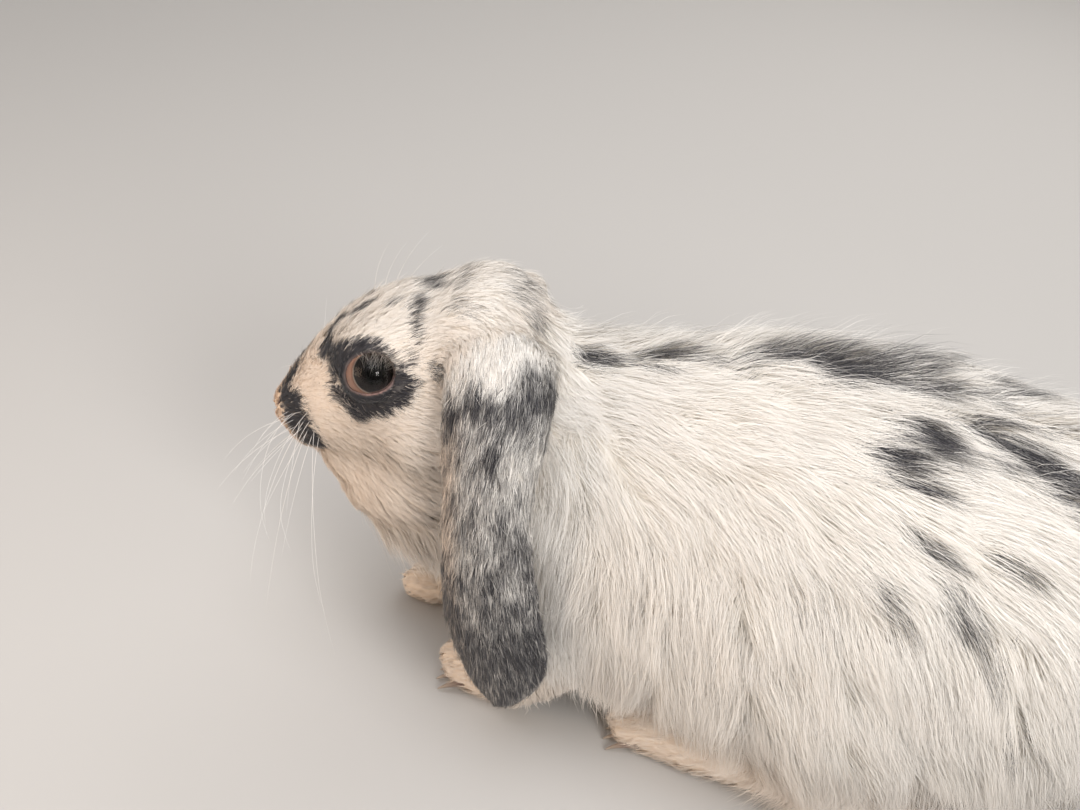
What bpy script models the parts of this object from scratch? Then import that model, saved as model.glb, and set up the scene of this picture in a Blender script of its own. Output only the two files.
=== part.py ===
"""Lop-eared rabbit, life size, crouching on all four feet with its ears hanging.

The animal faces -X with its left side towards -Y, and stands on the plane z = 0. It is built as one
mass of overlapping lofts and ellipsoids, which are fused, smoothed and cut flat under the feet. Thin
cuts then part the mass into the pieces that the body is named by. Ears, eyes and claws are shapes of
their own. All sizes include the coat. Lengths in the tables are millimetres.
"""

from dataclasses import dataclass
from math import cos, pi, radians, sin

import bmesh
import bpy
import numpy as np
from mathutils import Matrix, Vector

MM = 0.001
GAP = 0.3  # clearance between touching pieces
FUSE_VOXEL = 2.75  # grain at which the overlapping masses are fused
FUSED_TRIANGLES = 3900  # triangles kept on the fused mass before its rear is thinned further
REAR_TRIANGLES = 2000  # triangles kept on the whole mass after that
REAR_START = 92  # behind this length the mass is plain enough to be thinned
SMOOTH_PASSES = 7

# Trunk
TRUNK_LIFT = 84  # height of the trunk's mid line above the floor
LOWER_SPREAD = 0.08  # how much wider the trunk is low down than high up
LOWER_FULLNESS = 0.8  # power that squares the trunk's underside, 1 for an ellipse

# Head
NOSE_TIP = (9.0, -17.0, 95.0)
HEAD_TURN = 12  # degrees, nose to the animal's left
HEAD_DROP = 19  # degrees, nose down
HEAD_TILT = -11  # degrees, left side up
EYE_RADIUS = 8.5
EYE_BACK = 40.0  # from the nose tip along the head
EYE_SIDE = 17.0  # from the head's mid plane
EYE_RISE = 13.5  # above the head's axis

# Ears
EAR_RINGS = 16
EAR_HALF_SIDES = 6  # flat sides round one face of an ear
EAR_GAP = 0.5  # a little more than the other gaps, as the faces round an ear are twisted
EAR_TILT_DROP = 14  # how much lower the right ear's root lies than the left one's
EAR_DROP_FROM = 60  # the height from which it does so, and over which it reaches the whole of it
EAR_CUP = 5.0  # how far the ear's edges curl towards the head
EAR_CUP_WIDTH = 15  # the half width from which an ear has its whole cup
EAR_THIN = 4.5  # half the thickness up to which an ear has its whole cup
EAR_THICK_CUP = 0.35  # the share of the cup that a very thick root would keep
RIGHT_EAR_SHIFT = 17  # how far the right ear hangs ahead of the left one, as the head is turned
RIGHT_EAR_WIDEN = -10  # and how much nearer the body's mid plane

# Limbs
SIDES = (("left", -1), ("right", 1))
FORE_STRIDE = 26  # how far the right forefoot stands ahead of the left one
SHOULDER_HEIGHT = 92
LIMB_RINGS = 26
LIMB_SIDES = 20
CLAW_LENGTH = 15.0
CLAW_RADIUS = 1.1
CLAW_TIP_RADIUS = 0.35
CLAW_SIDES = 8
CLAW_PLACES = (-1.5, -0.5, 0.5, 1.5)  # the four toes, counted from the middle of the foot
CLAW_APART = 4.4
CLAW_HEIGHT = 4.6
CLAW_BEHIND = 1.5  # how far the middle of a claw lies behind the foot's last ring but one
CLAW_ARC = 0.9  # how far the outer claws lie back
CLAW_SPLAY = 0.06
CLAW_DROOP = 0.28

# Cuts
LIMB_MARGIN = 2.6  # how far outside a limb its cut runs
LIMB_CUT_SIDES = 14
TAIL_MARGIN = 1.0
BODY_CUT_RADIUS = 110
NAPE = (78, -4, 108)
NAPE_SLOPE = (1, 0.1, -0.31)
COLLAR = (95, 0, 104)
COLLAR_SLOPE = (1, 0, -0.36)
NECK_MARKER = (87, 0, 112)
JAW_LINE = (56, -8, 73)
JAW_SLOPE = (-0.4, 0, 0.92)
JAW_CUT_RADIUS = 90
THROAT_MARKER = (50, -8, 60)
MUZZLE_LENGTH = 22
MUZZLE_CUT_RADIUS = 60
RIB_CUT = 143
LOIN_CUT = 218
WRIST_SLOPE = (1.0, 0.2, 0.75)
WRIST_CUT_RADIUS = 22
WRIST_RISE = 1
ANKLE_SLOPE = (1.0, 0, -0.35)
ANKLE_CUT_RADIUS = 30
FLOOR_CUT_DEPTH = 40


@dataclass(frozen=True)
class Ring:
    """A cross-section: its centre, and its reach to the sides, to the front or top, and to the back."""

    x: float
    y: float
    z: float
    half_width: float
    above: float
    below: float


@dataclass(frozen=True)
class Egg:
    """An ellipsoid: centre, half axes, and a lean in degrees about Y. A paired one is given for the right."""

    centre: tuple
    radii: tuple
    lean: float = 0.0
    paired: bool = False


@dataclass(frozen=True)
class Coat:
    """Colour and surface of one kind of piece."""

    colour: tuple
    roughness: float


WHITE_FUR = Coat((0.86, 0.84, 0.81), 0.95)
GREY_FUR = Coat((0.22, 0.23, 0.26), 0.9)
TAN_FUR = Coat((0.80, 0.66, 0.52), 0.95)
EYE = Coat((0.03, 0.015, 0.01), 0.08)

# From the rump forwards
TRUNK = (
    Ring(311, 0, 66, 9, 9, 9),
    Ring(306, 0, 68, 25, 26, 28),
    Ring(293, 0, 74, 42, 44, 44),
    Ring(268, 0, 81, 55, 59, 58),
    Ring(236, 0, TRUNK_LIFT, 61, 65, 64),
    Ring(204, 0, TRUNK_LIFT, 63, 69, 65),
    Ring(172, 0, TRUNK_LIFT, 60, 68, 65),
    Ring(142, 0, TRUNK_LIFT, 54, 63, 66),
    Ring(116, 0, TRUNK_LIFT, 48, 57, 65),
    Ring(96, -1, TRUNK_LIFT, 41, 52, 57),
    Ring(78, -3, TRUNK_LIFT, 34, 40, 42),
    Ring(66, -5, 80, 22, 26, 26),
    Ring(60, -6, 78, 8, 8, 8),
)

# From the shoulders to the back of the head
NECK = (
    Ring(122, 0, 96, 30, 30, 34),
    Ring(104, -1, 100, 33, 34, 38),
    Ring(86, -3, 106, 32, 33, 36),
    Ring(70, -6, 110, 26, 28, 32),
)

# In the head's own frame: x runs back from the nose tip, z is up, from the occiput forwards
HEAD = (
    Ring(99, 0, 3, 8, 8, 8),
    Ring(93, 0, 3, 22, 20, 22),
    Ring(82, 0, 2, 28, 28, 29),
    Ring(67, 0, 1, 30, 32, 30),
    Ring(53, 0, 0, 28, 35, 29),
    Ring(41, 0, 0, 24.5, 33.5, 27),
    Ring(29, 0, 0, 21, 29.5, 23),
    Ring(18, 0, 0, 17.5, 21.5, 17.5),
    Ring(9, 0, 0, 13.5, 14, 10.5),
    Ring(3, 0, 0, 9.5, 8.5, 5.5),
    Ring(-1, 0, 0, 4, 3.5, 3),
)

# The left forelimb, from the shoulder to the toes
FORELIMB = (
    Ring(96, -25, 92, 11, 14, 14),
    Ring(103, -28, 70, 13, 18, 19),
    Ring(109, -29, 48, 14, 17, 20),
    Ring(106, -26, 30, 14, 13, 18),
    Ring(97, -23, 15, 12.5, 9, 15),
    Ring(86, -19, 8.5, 12, 8, 9.5),
    Ring(77, -16, 7.5, 11, 7, 8.5),
    Ring(69, -14, 6, 5, 4, 5),
)

# The left hind foot, from the hock to the toes
HIND_FOOT = (
    Ring(236, -30, 22, 7, 8, 9),
    Ring(229, -30, 19, 13, 15, 19),
    Ring(212, -29, 14, 13.5, 15, 15),
    Ring(186, -27, 12, 14.5, 13, 13),
    Ring(164, -26, 11, 14.5, 12, 12),
    Ring(148, -24.5, 9, 13, 11, 10),
    Ring(137, -24, 8, 10.5, 8, 9),
    Ring(130, -23, 7, 5, 4, 5),
)

# The left ear, from its root in the crown down to the tip; above is half its thickness
EAR = (
    Ring(78, -14, 138, 14, 7.5, 7.5),
    Ring(81, -24, 140.5, 17, 8.5, 8.5),
    Ring(84, -36, 135.5, 17, 8, 8),
    Ring(85.5, -46, 124, 16.5, 6.5, 6.5),
    Ring(87, -52, 107, 14.5, 5, 5),
    Ring(90, -56, 86, 15.5, 4, 4),
    Ring(94, -56, 63, 17, 4, 4),
    Ring(98, -53, 45, 16, 4, 4),
    Ring(99, -51, 33, 11.5, 3.5, 3.5),
    Ring(99.5, -50, 26, 4, 2, 2),
)

# Rounded masses of the head, in its own frame
HEAD_EGGS = {
    "chin": Egg((21, 0, -19), (12, 11, 10)),
    "crown": Egg((72, 0, 24), (17, 25, 11)),
    "ear_root": Egg((76, 23, 13), (17, 14, 12), paired=True),
    "cheek": Egg((58, 16, -9), (25, 15, 19), paired=True),
    "lip": Egg((13, 6.5, -4.5), (10, 8.5, 8.5), paired=True),
    "brow": Egg((41, 14, 19), (16, 9.5, 10), paired=True),
}

# Rounded masses of the body
BODY_EGGS = {
    "dewlap": Egg((64, -8, 79), (37, 27, 33)),
    "haunch": Egg((202, 32, 62), (49, 33, 46), lean=8, paired=True),
    "shoulder": Egg((104, 22, 80), (28, 23, 40), lean=-10, paired=True),
}
TAIL = Egg((311, 0, 79), (14, 15, 25), lean=12)

# The outlines of a thigh in the flank and of an upper foreleg in the chest, and a place inside each
THIGH_OUTLINE = Egg((202, 44, 62), (50, 26, 46), lean=8, paired=True)
THIGH_MARKER = (202, 44, 66)
SHOULDER_OUTLINE = Egg((105, 37, 72), (26, 19, 40), lean=-10, paired=True)
SHOULDER_MARKER = (104, 36, 80)


def linked(name, mesh):
    """A new object of a mesh, in the scene."""
    made = bpy.data.objects.new(name, mesh)
    bpy.context.scene.collection.objects.link(made)
    return made


def taken(name, work):
    """A new object of a worked mesh, which is freed."""
    mesh = bpy.data.meshes.new(name)
    work.to_mesh(mesh)
    work.free()
    return linked(name, mesh)


def smooth_rings(rings, count):
    """Rings read from a smooth curve through the given ones, as rows of numbers."""
    rows = np.array([(r.x, r.y, r.z, r.half_width, r.above, r.below) for r in rings])
    padded = np.vstack([2 * rows[0] - rows[1], rows, 2 * rows[-1] - rows[-2]])
    place = np.linspace(0, len(rows) - 1, count)
    start = np.minimum(place.astype(int), len(rows) - 2)
    t = (place - start)[:, None]
    before, first, second, after = (padded[start + k] for k in range(4))
    bend = 2 * before - 5 * first + 4 * second - after
    twist = 3 * first - before - 3 * second + after
    found = first + 0.5 * t * (second - before + t * (bend + t * twist))
    found[:, 3:] = np.maximum(found[:, 3:], 1.0)
    return found


def frames_along(points, side):
    """Unit vectors at each point of a path: across it to the given side, and out of its front or top."""
    along = np.gradient(points, axis=0)
    along /= np.linalg.norm(along, axis=1, keepdims=True)
    across = side - (along @ side)[:, None] * along
    across /= np.linalg.norm(across, axis=1, keepdims=True)
    return along, across, np.cross(across, along)


def mesh_from(name, points, faces):
    """A closed mesh object, its faces turned outwards."""
    mesh = bpy.data.meshes.new(name)
    mesh.from_pydata([tuple(p) for p in points], [], faces)
    work = bmesh.new()
    work.from_mesh(mesh)
    bpy.data.meshes.remove(mesh)
    bmesh.ops.recalc_face_normals(work, faces=work.faces)
    return taken(name, work)


def skinned(name, rings):
    """The closed surface through a list of rings of points, each end closed by a fan."""
    rings = np.asarray(rings)
    count, sides, _ = rings.shape
    ends = [rings[0].mean(axis=0), rings[-1].mean(axis=0)]
    points = np.vstack([rings.reshape(-1, 3), ends]) * MM
    faces = []
    for ring in range(count - 1):
        for side in range(sides):
            after = (side + 1) % sides
            low, high = ring * sides, (ring + 1) * sides
            faces.append((low + side, low + after, high + after, high + side))
    last = (count - 1) * sides
    for side in range(sides):
        after = (side + 1) % sides
        faces.append((side, after, count * sides))
        faces.append((last + side, last + after, count * sides + 1))
    return mesh_from(name, points, faces)


def loft(name, table, count, sides, grow=0.0, spread=0.0, fullness=1.0):
    """A solid through a table of rings, grown by a margin. Spread and fullness shape its underside."""
    rows = smooth_rings(table, count)
    points = rows[:, :3]
    along, across, front = frames_along(points, np.array((0.0, 1.0, 0.0)))
    points = points.copy()
    points[0] -= along[0] * grow
    points[-1] += along[-1] * grow
    rings = []
    for row, point, wide, high in zip(rows, points, across, front):
        ring = []
        for step in range(sides):
            turn = 2 * pi * step / sides
            below = sin(turn) < 0
            power = fullness if below else 1.0
            place = np.sign(cos(turn)) * abs(cos(turn)) ** power
            height = np.sign(sin(turn)) * abs(sin(turn)) ** power
            reach = row[3] * (1 - spread * sin(turn)) + grow
            rise = (row[5] if below else row[4]) + grow
            ring.append(point + wide * reach * place + high * rise * height)
        rings.append(ring)
    return skinned(name, rings)


def leaf(name, table, grow=0.0):
    """An ear: each ring is a thin crescent whose edges curl towards the head."""
    rows = smooth_rings(table, EAR_RINGS)
    points = rows[:, :3].copy()
    along, across, outward = frames_along(points, np.array((1.0, 0.0, 0.0)))
    outward = -outward
    points[0] -= along[0] * grow
    points[-1] += along[-1] * grow
    rings = []
    for row, point, wide, out in zip(rows, points, across, outward):
        thin = min(1.0, EAR_THIN / row[4])
        cup = EAR_CUP * min(1.0, row[3] / EAR_CUP_WIDTH) * (EAR_THICK_CUP + (1 - EAR_THICK_CUP) * thin)
        ring = []
        for step in range(2 * EAR_HALF_SIDES):
            turn = pi * step / EAR_HALF_SIDES
            place = cos(turn)
            thickness = (row[4] + grow) * sin(turn)
            curl = -cup * place * place
            ring.append(point + wide * place * (row[3] + grow) + out * (curl + thickness))
        rings.append(ring)
    return skinned(name, rings)


def ball(name, shape, hand=1, grow=0.0, rings=8, sides=16):
    """One egg as a solid, grown by a margin; a paired one on the side that hand says."""
    work = bmesh.new()
    bmesh.ops.create_uvsphere(work, u_segments=sides, v_segments=rings, radius=1)
    made = taken(name, work)
    x, y, z = shape.centre
    size = Matrix.Diagonal([(r + grow) * MM for r in shape.radii]).to_4x4()
    turn = Matrix.Rotation(radians(shape.lean), 4, "Y")
    made.data.transform(Matrix.Translation(Vector((x, y * hand, z)) * MM) @ turn @ size)
    return made


def balls(shapes):
    """All the eggs of a table as solids, the paired ones on both sides."""
    made = []
    for name, shape in shapes.items():
        for _, hand in SIDES if shape.paired else SIDES[1:]:
            made.append(ball(name, shape, hand))
    return made


def disc(name, centre, normal, radius, thickness=GAP):
    """A round cutter, unless told otherwise as thin as the gap that it leaves."""
    work = bmesh.new()
    wide = radius * MM
    deep = thickness * MM
    bmesh.ops.create_cone(work, cap_ends=True, segments=32, radius1=wide, radius2=wide, depth=deep)
    made = taken(name, work)
    turn = Vector((0, 0, 1)).rotation_difference(Vector(normal)).to_matrix().to_4x4()
    made.data.transform(Matrix.Translation(Vector(centre) * MM) @ turn)
    return made


def joined(name, pieces):
    """The meshes of several objects as one object; the pieces are removed."""
    work = bmesh.new()
    for piece in pieces:
        work.from_mesh(piece.data)
        bpy.data.objects.remove(piece)
    return taken(name, work)


def shell(outer, inner):
    """A closed thin shell between two closed surfaces, as a cutter."""
    inner.data.flip_normals()
    return joined(outer.name, [outer, inner])


def settle(target):
    """Applies the modifiers of an object to its mesh."""
    graph = bpy.context.evaluated_depsgraph_get()
    mesh = bpy.data.meshes.new_from_object(target.evaluated_get(graph))
    target.modifiers.clear()
    target.data = mesh


def carve(target, cutter, operation="DIFFERENCE"):
    """Cuts or joins one solid with another, and removes the second."""
    step = target.modifiers.new("Cut", "BOOLEAN")
    step.operation = operation
    step.object = cutter
    settle(target)
    bpy.data.objects.remove(cutter)


def loose_pieces(target):
    """The bodies of an object that a cut has parted, as objects; the first object is removed."""
    whole = bmesh.new()
    whole.from_mesh(target.data)
    left = set(whole.verts)
    groups = []
    while left:
        start = left.pop()
        group = {start}
        border = [start]
        while border:
            vertex = border.pop()
            for edge in vertex.link_edges:
                other = edge.other_vert(vertex)
                if other in left:
                    left.remove(other)
                    group.add(other)
                    border.append(other)
        groups.append({v.index for v in group})
    made = []
    for group in groups:
        part = whole.copy()
        outside = [v for v in part.verts if v.index not in group]
        bmesh.ops.delete(part, geom=outside, context="VERTS")
        made.append(taken(target.name, part))
    whole.free()
    bpy.data.objects.remove(target)
    return made


def holds(piece, point):
    """Whether a point lies inside a closed piece: a line up from it crosses it an odd number of times."""
    up = Vector((0, 0, 1))
    place = Vector(point) * MM
    crossings = 0
    found = True
    while found:
        found, hit, _, _ = piece.ray_cast(place, up)
        if found:
            crossings += 1
            place = hit + up * 1e-6
    return crossings % 2 == 1


def volume_of(piece):
    """The volume of a closed piece."""
    work = bmesh.new()
    work.from_mesh(piece.data)
    volume = abs(work.calc_volume())
    work.free()
    return volume


def part_off(pieces, source, cutter, name, marker):
    """Cuts one piece in two. The part that holds the marker takes the new name. Crumbs are dropped."""
    carve(pieces[source], cutter)
    found = sorted(loose_pieces(pieces[source]), key=volume_of, reverse=True)
    for crumb in found[2:]:
        bpy.data.objects.remove(crumb)
    first, second = found[:2]
    if holds(second, marker):
        pieces[source], pieces[name] = first, second
    else:
        pieces[source], pieces[name] = second, first


def head_frame():
    """The head's place: x runs back from the nose tip, z is up through the crown."""
    turn = Matrix.Rotation(radians(HEAD_TURN), 4, "Z")
    drop = Matrix.Rotation(radians(-HEAD_DROP), 4, "Y")
    tilt = Matrix.Rotation(radians(HEAD_TILT), 4, "X")
    return Matrix.Translation(Vector(NOSE_TIP) * MM) @ turn @ drop @ tilt


def in_head(local):
    """A place in the head's frame, in millimetres of the whole."""
    return tuple(head_frame() @ (Vector(local) * MM) / MM)


def mirrored(table, shift=0.0, widen=0.0):
    """The right-hand limb of a left-hand one, set forward and outward by some millimetres."""
    rings = []
    for ring in table:
        rings.append(Ring(ring.x - shift, widen - ring.y, ring.z, ring.half_width, ring.above, ring.below))
    return tuple(rings)


def forelimb_table(side):
    """The rings of one forelimb. The right foot reaches ahead, and its shoulder stays."""
    if side == "left":
        return FORELIMB
    rings = []
    for ring in mirrored(FORELIMB):
        reach = FORE_STRIDE * max(0.0, 1 - ring.z / SHOULDER_HEIGHT)
        rings.append(Ring(ring.x - reach, ring.y, ring.z, ring.half_width, ring.above, ring.below))
    return tuple(rings)


def side_table(table, side):
    """A left-hand table, or its mirror image."""
    return table if side == "left" else mirrored(table)


def ear_table(side):
    """The rings of one ear. The right one's root lies lower, as the head tilts to that side."""
    if side == "left":
        return EAR
    rings = []
    for ring in mirrored(EAR, shift=RIGHT_EAR_SHIFT, widen=RIGHT_EAR_WIDEN):
        lower = EAR_TILT_DROP * min(1.0, max(0.0, (ring.z - EAR_DROP_FROM) / EAR_DROP_FROM))
        rings.append(Ring(ring.x, ring.y, ring.z - lower, ring.half_width, ring.above, ring.below))
    return tuple(rings)


def head_masses():
    """The skull with its muzzle, cheeks, brows and crown, in place."""
    pieces = [loft("head_mass", HEAD, 30, 28)] + balls(HEAD_EGGS)
    for piece in pieces:
        piece.data.transform(head_frame())
    return pieces


def body_masses():
    """The trunk, neck, haunches, limbs and tail, in place."""
    pieces = [loft("trunk_mass", TRUNK, 40, 36, spread=LOWER_SPREAD, fullness=LOWER_FULLNESS)]
    pieces.append(loft("neck_mass", NECK, 12, 28))
    pieces.append(ball("tail_mass", TAIL))
    for side, _ in SIDES:
        pieces.append(loft("forelimb_mass", forelimb_table(side), LIMB_RINGS, LIMB_SIDES))
        pieces.append(loft("hind_foot_mass", side_table(HIND_FOOT, side), LIMB_RINGS, LIMB_SIDES))
    return pieces + balls(BODY_EGGS)


def thin_out(target, triangles, group=""):
    """Reduces a mesh to a number of triangles, all over or in one group of vertices."""
    now = sum(len(face.vertices) - 2 for face in target.data.polygons)
    thin = target.modifiers.new("Thin", "DECIMATE")
    thin.ratio = triangles / now
    thin.vertex_group = group
    settle(target)


def fused_mass():
    """The whole of the flesh and coat as one smooth solid, flat under the feet, with sockets for the ears."""
    mass = joined("body", head_masses() + body_masses())
    fuse = mass.modifiers.new("Fuse", "REMESH")
    fuse.mode = "VOXEL"
    fuse.voxel_size = FUSE_VOXEL * MM
    soften = mass.modifiers.new("Soften", "SMOOTH")
    soften.factor = 0.5
    soften.iterations = SMOOTH_PASSES
    settle(mass)
    thin_out(mass, FUSED_TRIANGLES)
    rear = mass.vertex_groups.new(name="rear")
    rear.add([v.index for v in mass.data.vertices if v.co.x > REAR_START * MM], 1.0, "REPLACE")
    thin_out(mass, REAR_TRIANGLES, group="rear")
    under = (LOIN_CUT, 0, -FLOOR_CUT_DEPTH / 2)
    carve(mass, disc("floor_cutter", under, (0, 0, 1), 4 * BODY_CUT_RADIUS, thickness=FLOOR_CUT_DEPTH))
    for side, _ in SIDES:
        carve(mass, leaf("ear_cutter", ear_table(side), grow=EAR_GAP))
    return mass


def paint(target, name, coat):
    """Names a finished piece, gives it its material and shades it smooth."""
    material = bpy.data.materials.new(name)
    material.use_nodes = True
    shader = material.node_tree.nodes["Principled BSDF"]
    shader.inputs["Base Color"].default_value = (*coat.colour, 1)
    shader.inputs["Roughness"].default_value = coat.roughness
    shader.inputs["Metallic"].default_value = 0.0
    target.data.materials.clear()
    target.data.materials.append(material)
    target.data.shade_smooth()
    target.data.set_sharp_from_angle(angle=radians(50))
    target.name = name


def round_shell(name, shape, hand=1, margin=0.0):
    """A cutter as thin as the gap, round one egg grown by a margin."""
    return shell(ball(name, shape, hand, margin + GAP), ball(name, shape, hand, margin))


def limb_shell(table, rings):
    """A cutter as thin as the gap, round a limb."""
    outer = loft("limb_outer", table, rings, LIMB_CUT_SIDES, grow=LIMB_MARGIN + GAP)
    inner = loft("limb_inner", table, rings, LIMB_CUT_SIDES, grow=LIMB_MARGIN)
    return shell(outer, inner)


def on_side(point, hand):
    """A right-hand place, or its mirror image."""
    return (point[0], point[1] * hand, point[2])


def part_forelimb(pieces, side, hand):
    """Parts the forefoot, forearm and upper foreleg of one side from the trunk."""
    table = forelimb_table(side)
    toe = table[-3]
    toe_marker = (toe.x, toe.y, toe.z)
    part_off(pieces, "trunk", limb_shell(table[2:], 12), f"forearm_{side}", toe_marker)
    wrist = table[4]
    slope = on_side(WRIST_SLOPE, -hand)
    joint = disc("wrist_cutter", (wrist.x, wrist.y, wrist.z + WRIST_RISE), slope, WRIST_CUT_RADIUS)
    part_off(pieces, f"forearm_{side}", joint, f"forefoot_{side}", toe_marker)
    cutter = round_shell("shoulder_cutter", SHOULDER_OUTLINE, hand)
    part_off(pieces, "trunk", cutter, f"upper_foreleg_{side}", on_side(SHOULDER_MARKER, hand))


def part_hind_limb(pieces, side, hand):
    """Parts the hind foot, hock and thigh of one side from the trunk."""
    table = side_table(HIND_FOOT, side)
    toe = table[-3]
    toe_marker = (toe.x, toe.y, toe.z)
    part_off(pieces, "trunk", limb_shell(table, 15), f"hock_{side}", toe_marker)
    ankle = table[2]
    joint = disc("ankle_cutter", (ankle.x, ankle.y, ankle.z), ANKLE_SLOPE, ANKLE_CUT_RADIUS)
    part_off(pieces, f"hock_{side}", joint, f"hindfoot_{side}", toe_marker)
    cutter = round_shell("thigh_cutter", THIGH_OUTLINE, hand)
    part_off(pieces, "trunk", cutter, f"thigh_{side}", on_side(THIGH_MARKER, hand))


def part_head(pieces):
    """Parts the head from the neck, and the throat and the muzzle from the head."""
    axis = head_frame().to_3x3() @ Vector((1, 0, 0))
    nape = disc("nape_cutter", NAPE, NAPE_SLOPE, BODY_CUT_RADIUS)
    part_off(pieces, "trunk", nape, "head", in_head((50, 0, 0)))
    collar = disc("collar_cutter", COLLAR, COLLAR_SLOPE, BODY_CUT_RADIUS)
    part_off(pieces, "trunk", collar, "neck", NECK_MARKER)
    jaw_line = disc("jaw_line_cutter", JAW_LINE, JAW_SLOPE, JAW_CUT_RADIUS)
    part_off(pieces, "head", jaw_line, "throat", THROAT_MARKER)
    muzzle = disc("muzzle_cutter", in_head((MUZZLE_LENGTH, 0, 0)), axis, MUZZLE_CUT_RADIUS)
    part_off(pieces, "head", muzzle, "muzzle", in_head((9, 0, 0)))


def part_trunk(pieces):
    """Parts the trunk into chest, belly and rump, and the tail from the rump."""
    part_off(pieces, "trunk", round_shell("tail_cutter", TAIL, margin=TAIL_MARGIN), "tail", (318, 0, 82))
    loin = disc("loin_cutter", (LOIN_CUT, 0, 80), (1, 0, 0), BODY_CUT_RADIUS)
    part_off(pieces, "trunk", loin, "rump", (262, 0, 90))
    ribs = disc("rib_cutter", (RIB_CUT, 0, 80), (1, 0, 0), BODY_CUT_RADIUS)
    part_off(pieces, "trunk", ribs, "chest", (130, 0, 90))


def add_claws(pieces, side, table, name):
    """Joins four claws to the toes of one foot."""
    toe = table[-2]
    for place in CLAW_PLACES:
        work = bmesh.new()
        bmesh.ops.create_cone(
            work,
            cap_ends=True,
            segments=CLAW_SIDES,
            radius1=CLAW_RADIUS * MM,
            radius2=CLAW_TIP_RADIUS * MM,
            depth=CLAW_LENGTH * MM,
        )
        claw = taken("claw", work)
        aim = Vector((-1, CLAW_SPLAY * place, -CLAW_DROOP)).normalized()
        turn = Vector((0, 0, 1)).rotation_difference(aim).to_matrix().to_4x4()
        back = CLAW_BEHIND + CLAW_ARC * place**2
        centre = Vector((toe.x + back, toe.y + CLAW_APART * place, CLAW_HEIGHT)) * MM
        claw.data.transform(Matrix.Translation(centre) @ turn)
        carve(pieces[f"{name}_{side}"], claw, "UNION")


def add_eye(pieces, side, hand):
    """Sets one eyeball in a socket that it clears."""
    shape = Egg((EYE_BACK, EYE_SIDE, EYE_RISE), (EYE_RADIUS, EYE_RADIUS, EYE_RADIUS), paired=True)
    socket = ball("socket_cutter", shape, hand, grow=GAP)
    socket.data.transform(head_frame())
    carve(pieces["head"], socket)
    eye = ball("eye", shape, hand, rings=10)
    eye.data.transform(head_frame())
    pieces[f"eye_{side}"] = eye


def stand_on_origin(objects):
    """Moves the whole so that the origin is under the middle of its box, on the floor."""
    corners = np.array([tuple(v.co) for piece in objects for v in piece.data.vertices])
    low, high = corners.min(axis=0), corners.max(axis=0)
    shift = Matrix.Translation((-(low[0] + high[0]) / 2, -(low[1] + high[1]) / 2, -low[2]))
    for piece in objects:
        piece.data.transform(shift)


def coat_of(name):
    """The coat of a piece, by its name."""
    if name.startswith("eye"):
        return EYE
    if name.startswith("ear"):
        return GREY_FUR
    if "foot" in name:
        return TAN_FUR
    return WHITE_FUR


def build():
    """Builds the whole animal."""
    for old in list(bpy.data.objects):
        bpy.data.objects.remove(old)
    pieces = {"trunk": fused_mass()}
    for side, hand in SIDES:
        part_forelimb(pieces, side, hand)
        part_hind_limb(pieces, side, hand)
    part_head(pieces)
    part_trunk(pieces)
    for side, hand in SIDES:
        add_eye(pieces, side, hand)
        pieces[f"ear_{side}"] = leaf("ear", ear_table(side))
        add_claws(pieces, side, forelimb_table(side), "forefoot")
        add_claws(pieces, side, side_table(HIND_FOOT, side), "hindfoot")
    pieces["belly"] = pieces.pop("trunk")
    stand_on_origin(pieces.values())
    for name, piece in pieces.items():
        paint(piece, name, coat_of(name))


build()
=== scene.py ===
"""A life-size lop-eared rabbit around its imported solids: one skin, its coat, eyes, whiskers and claws."""
import logging
import math
import time
from dataclasses import dataclass, field, replace
from enum import Enum

import bmesh
import bpy
import numpy as np
from mathutils import Matrix, Vector
from mathutils.bvhtree import BVHTree
from mathutils.kdtree import KDTree


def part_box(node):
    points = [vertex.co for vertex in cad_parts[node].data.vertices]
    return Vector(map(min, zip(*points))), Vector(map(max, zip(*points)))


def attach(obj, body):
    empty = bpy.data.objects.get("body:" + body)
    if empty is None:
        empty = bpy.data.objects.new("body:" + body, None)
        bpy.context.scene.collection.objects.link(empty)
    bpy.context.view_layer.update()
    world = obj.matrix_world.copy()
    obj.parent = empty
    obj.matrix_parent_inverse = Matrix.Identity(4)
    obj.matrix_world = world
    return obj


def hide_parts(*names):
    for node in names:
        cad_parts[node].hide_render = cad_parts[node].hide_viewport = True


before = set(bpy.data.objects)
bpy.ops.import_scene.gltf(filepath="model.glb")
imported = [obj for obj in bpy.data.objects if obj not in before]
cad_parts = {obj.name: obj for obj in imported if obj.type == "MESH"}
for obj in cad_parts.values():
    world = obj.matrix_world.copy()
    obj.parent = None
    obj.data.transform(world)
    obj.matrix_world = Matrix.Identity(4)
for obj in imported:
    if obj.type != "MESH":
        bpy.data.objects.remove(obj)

MM = 0.001
BODY = "root"
TOE_APART = 4.4  # millimetres between the middles of two toes
LID_TUCK = 4.0  # degrees by which the skin stays beyond the lids' edge
SIDES = (("left", -1.0), ("right", 1.0))

logging.basicConfig(level=logging.INFO, format="%(name)s: %(message)s")
log = logging.getLogger("rabbit")


# ---------------------------------------------------------------- arithmetic on whole arrays


def unit(vectors: np.ndarray) -> np.ndarray:
    """Rows of three numbers over their lengths."""
    return vectors / np.maximum(np.linalg.norm(vectors, axis=-1, keepdims=True), 1e-9)


def ease(values: np.ndarray, low: float, high: float) -> np.ndarray:
    """A soft step: 0 below low, 1 above high, and t * t * (3 - 2 * t) between.

    Args:
        values: what is compared.
        low: where the step starts.
        high: where it ends.

    Returns:
        Shares from 0 to 1.
    """
    t = np.clip((values - low) / (high - low), 0, 1)
    return t * t * (3 - 2 * t)


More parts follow.
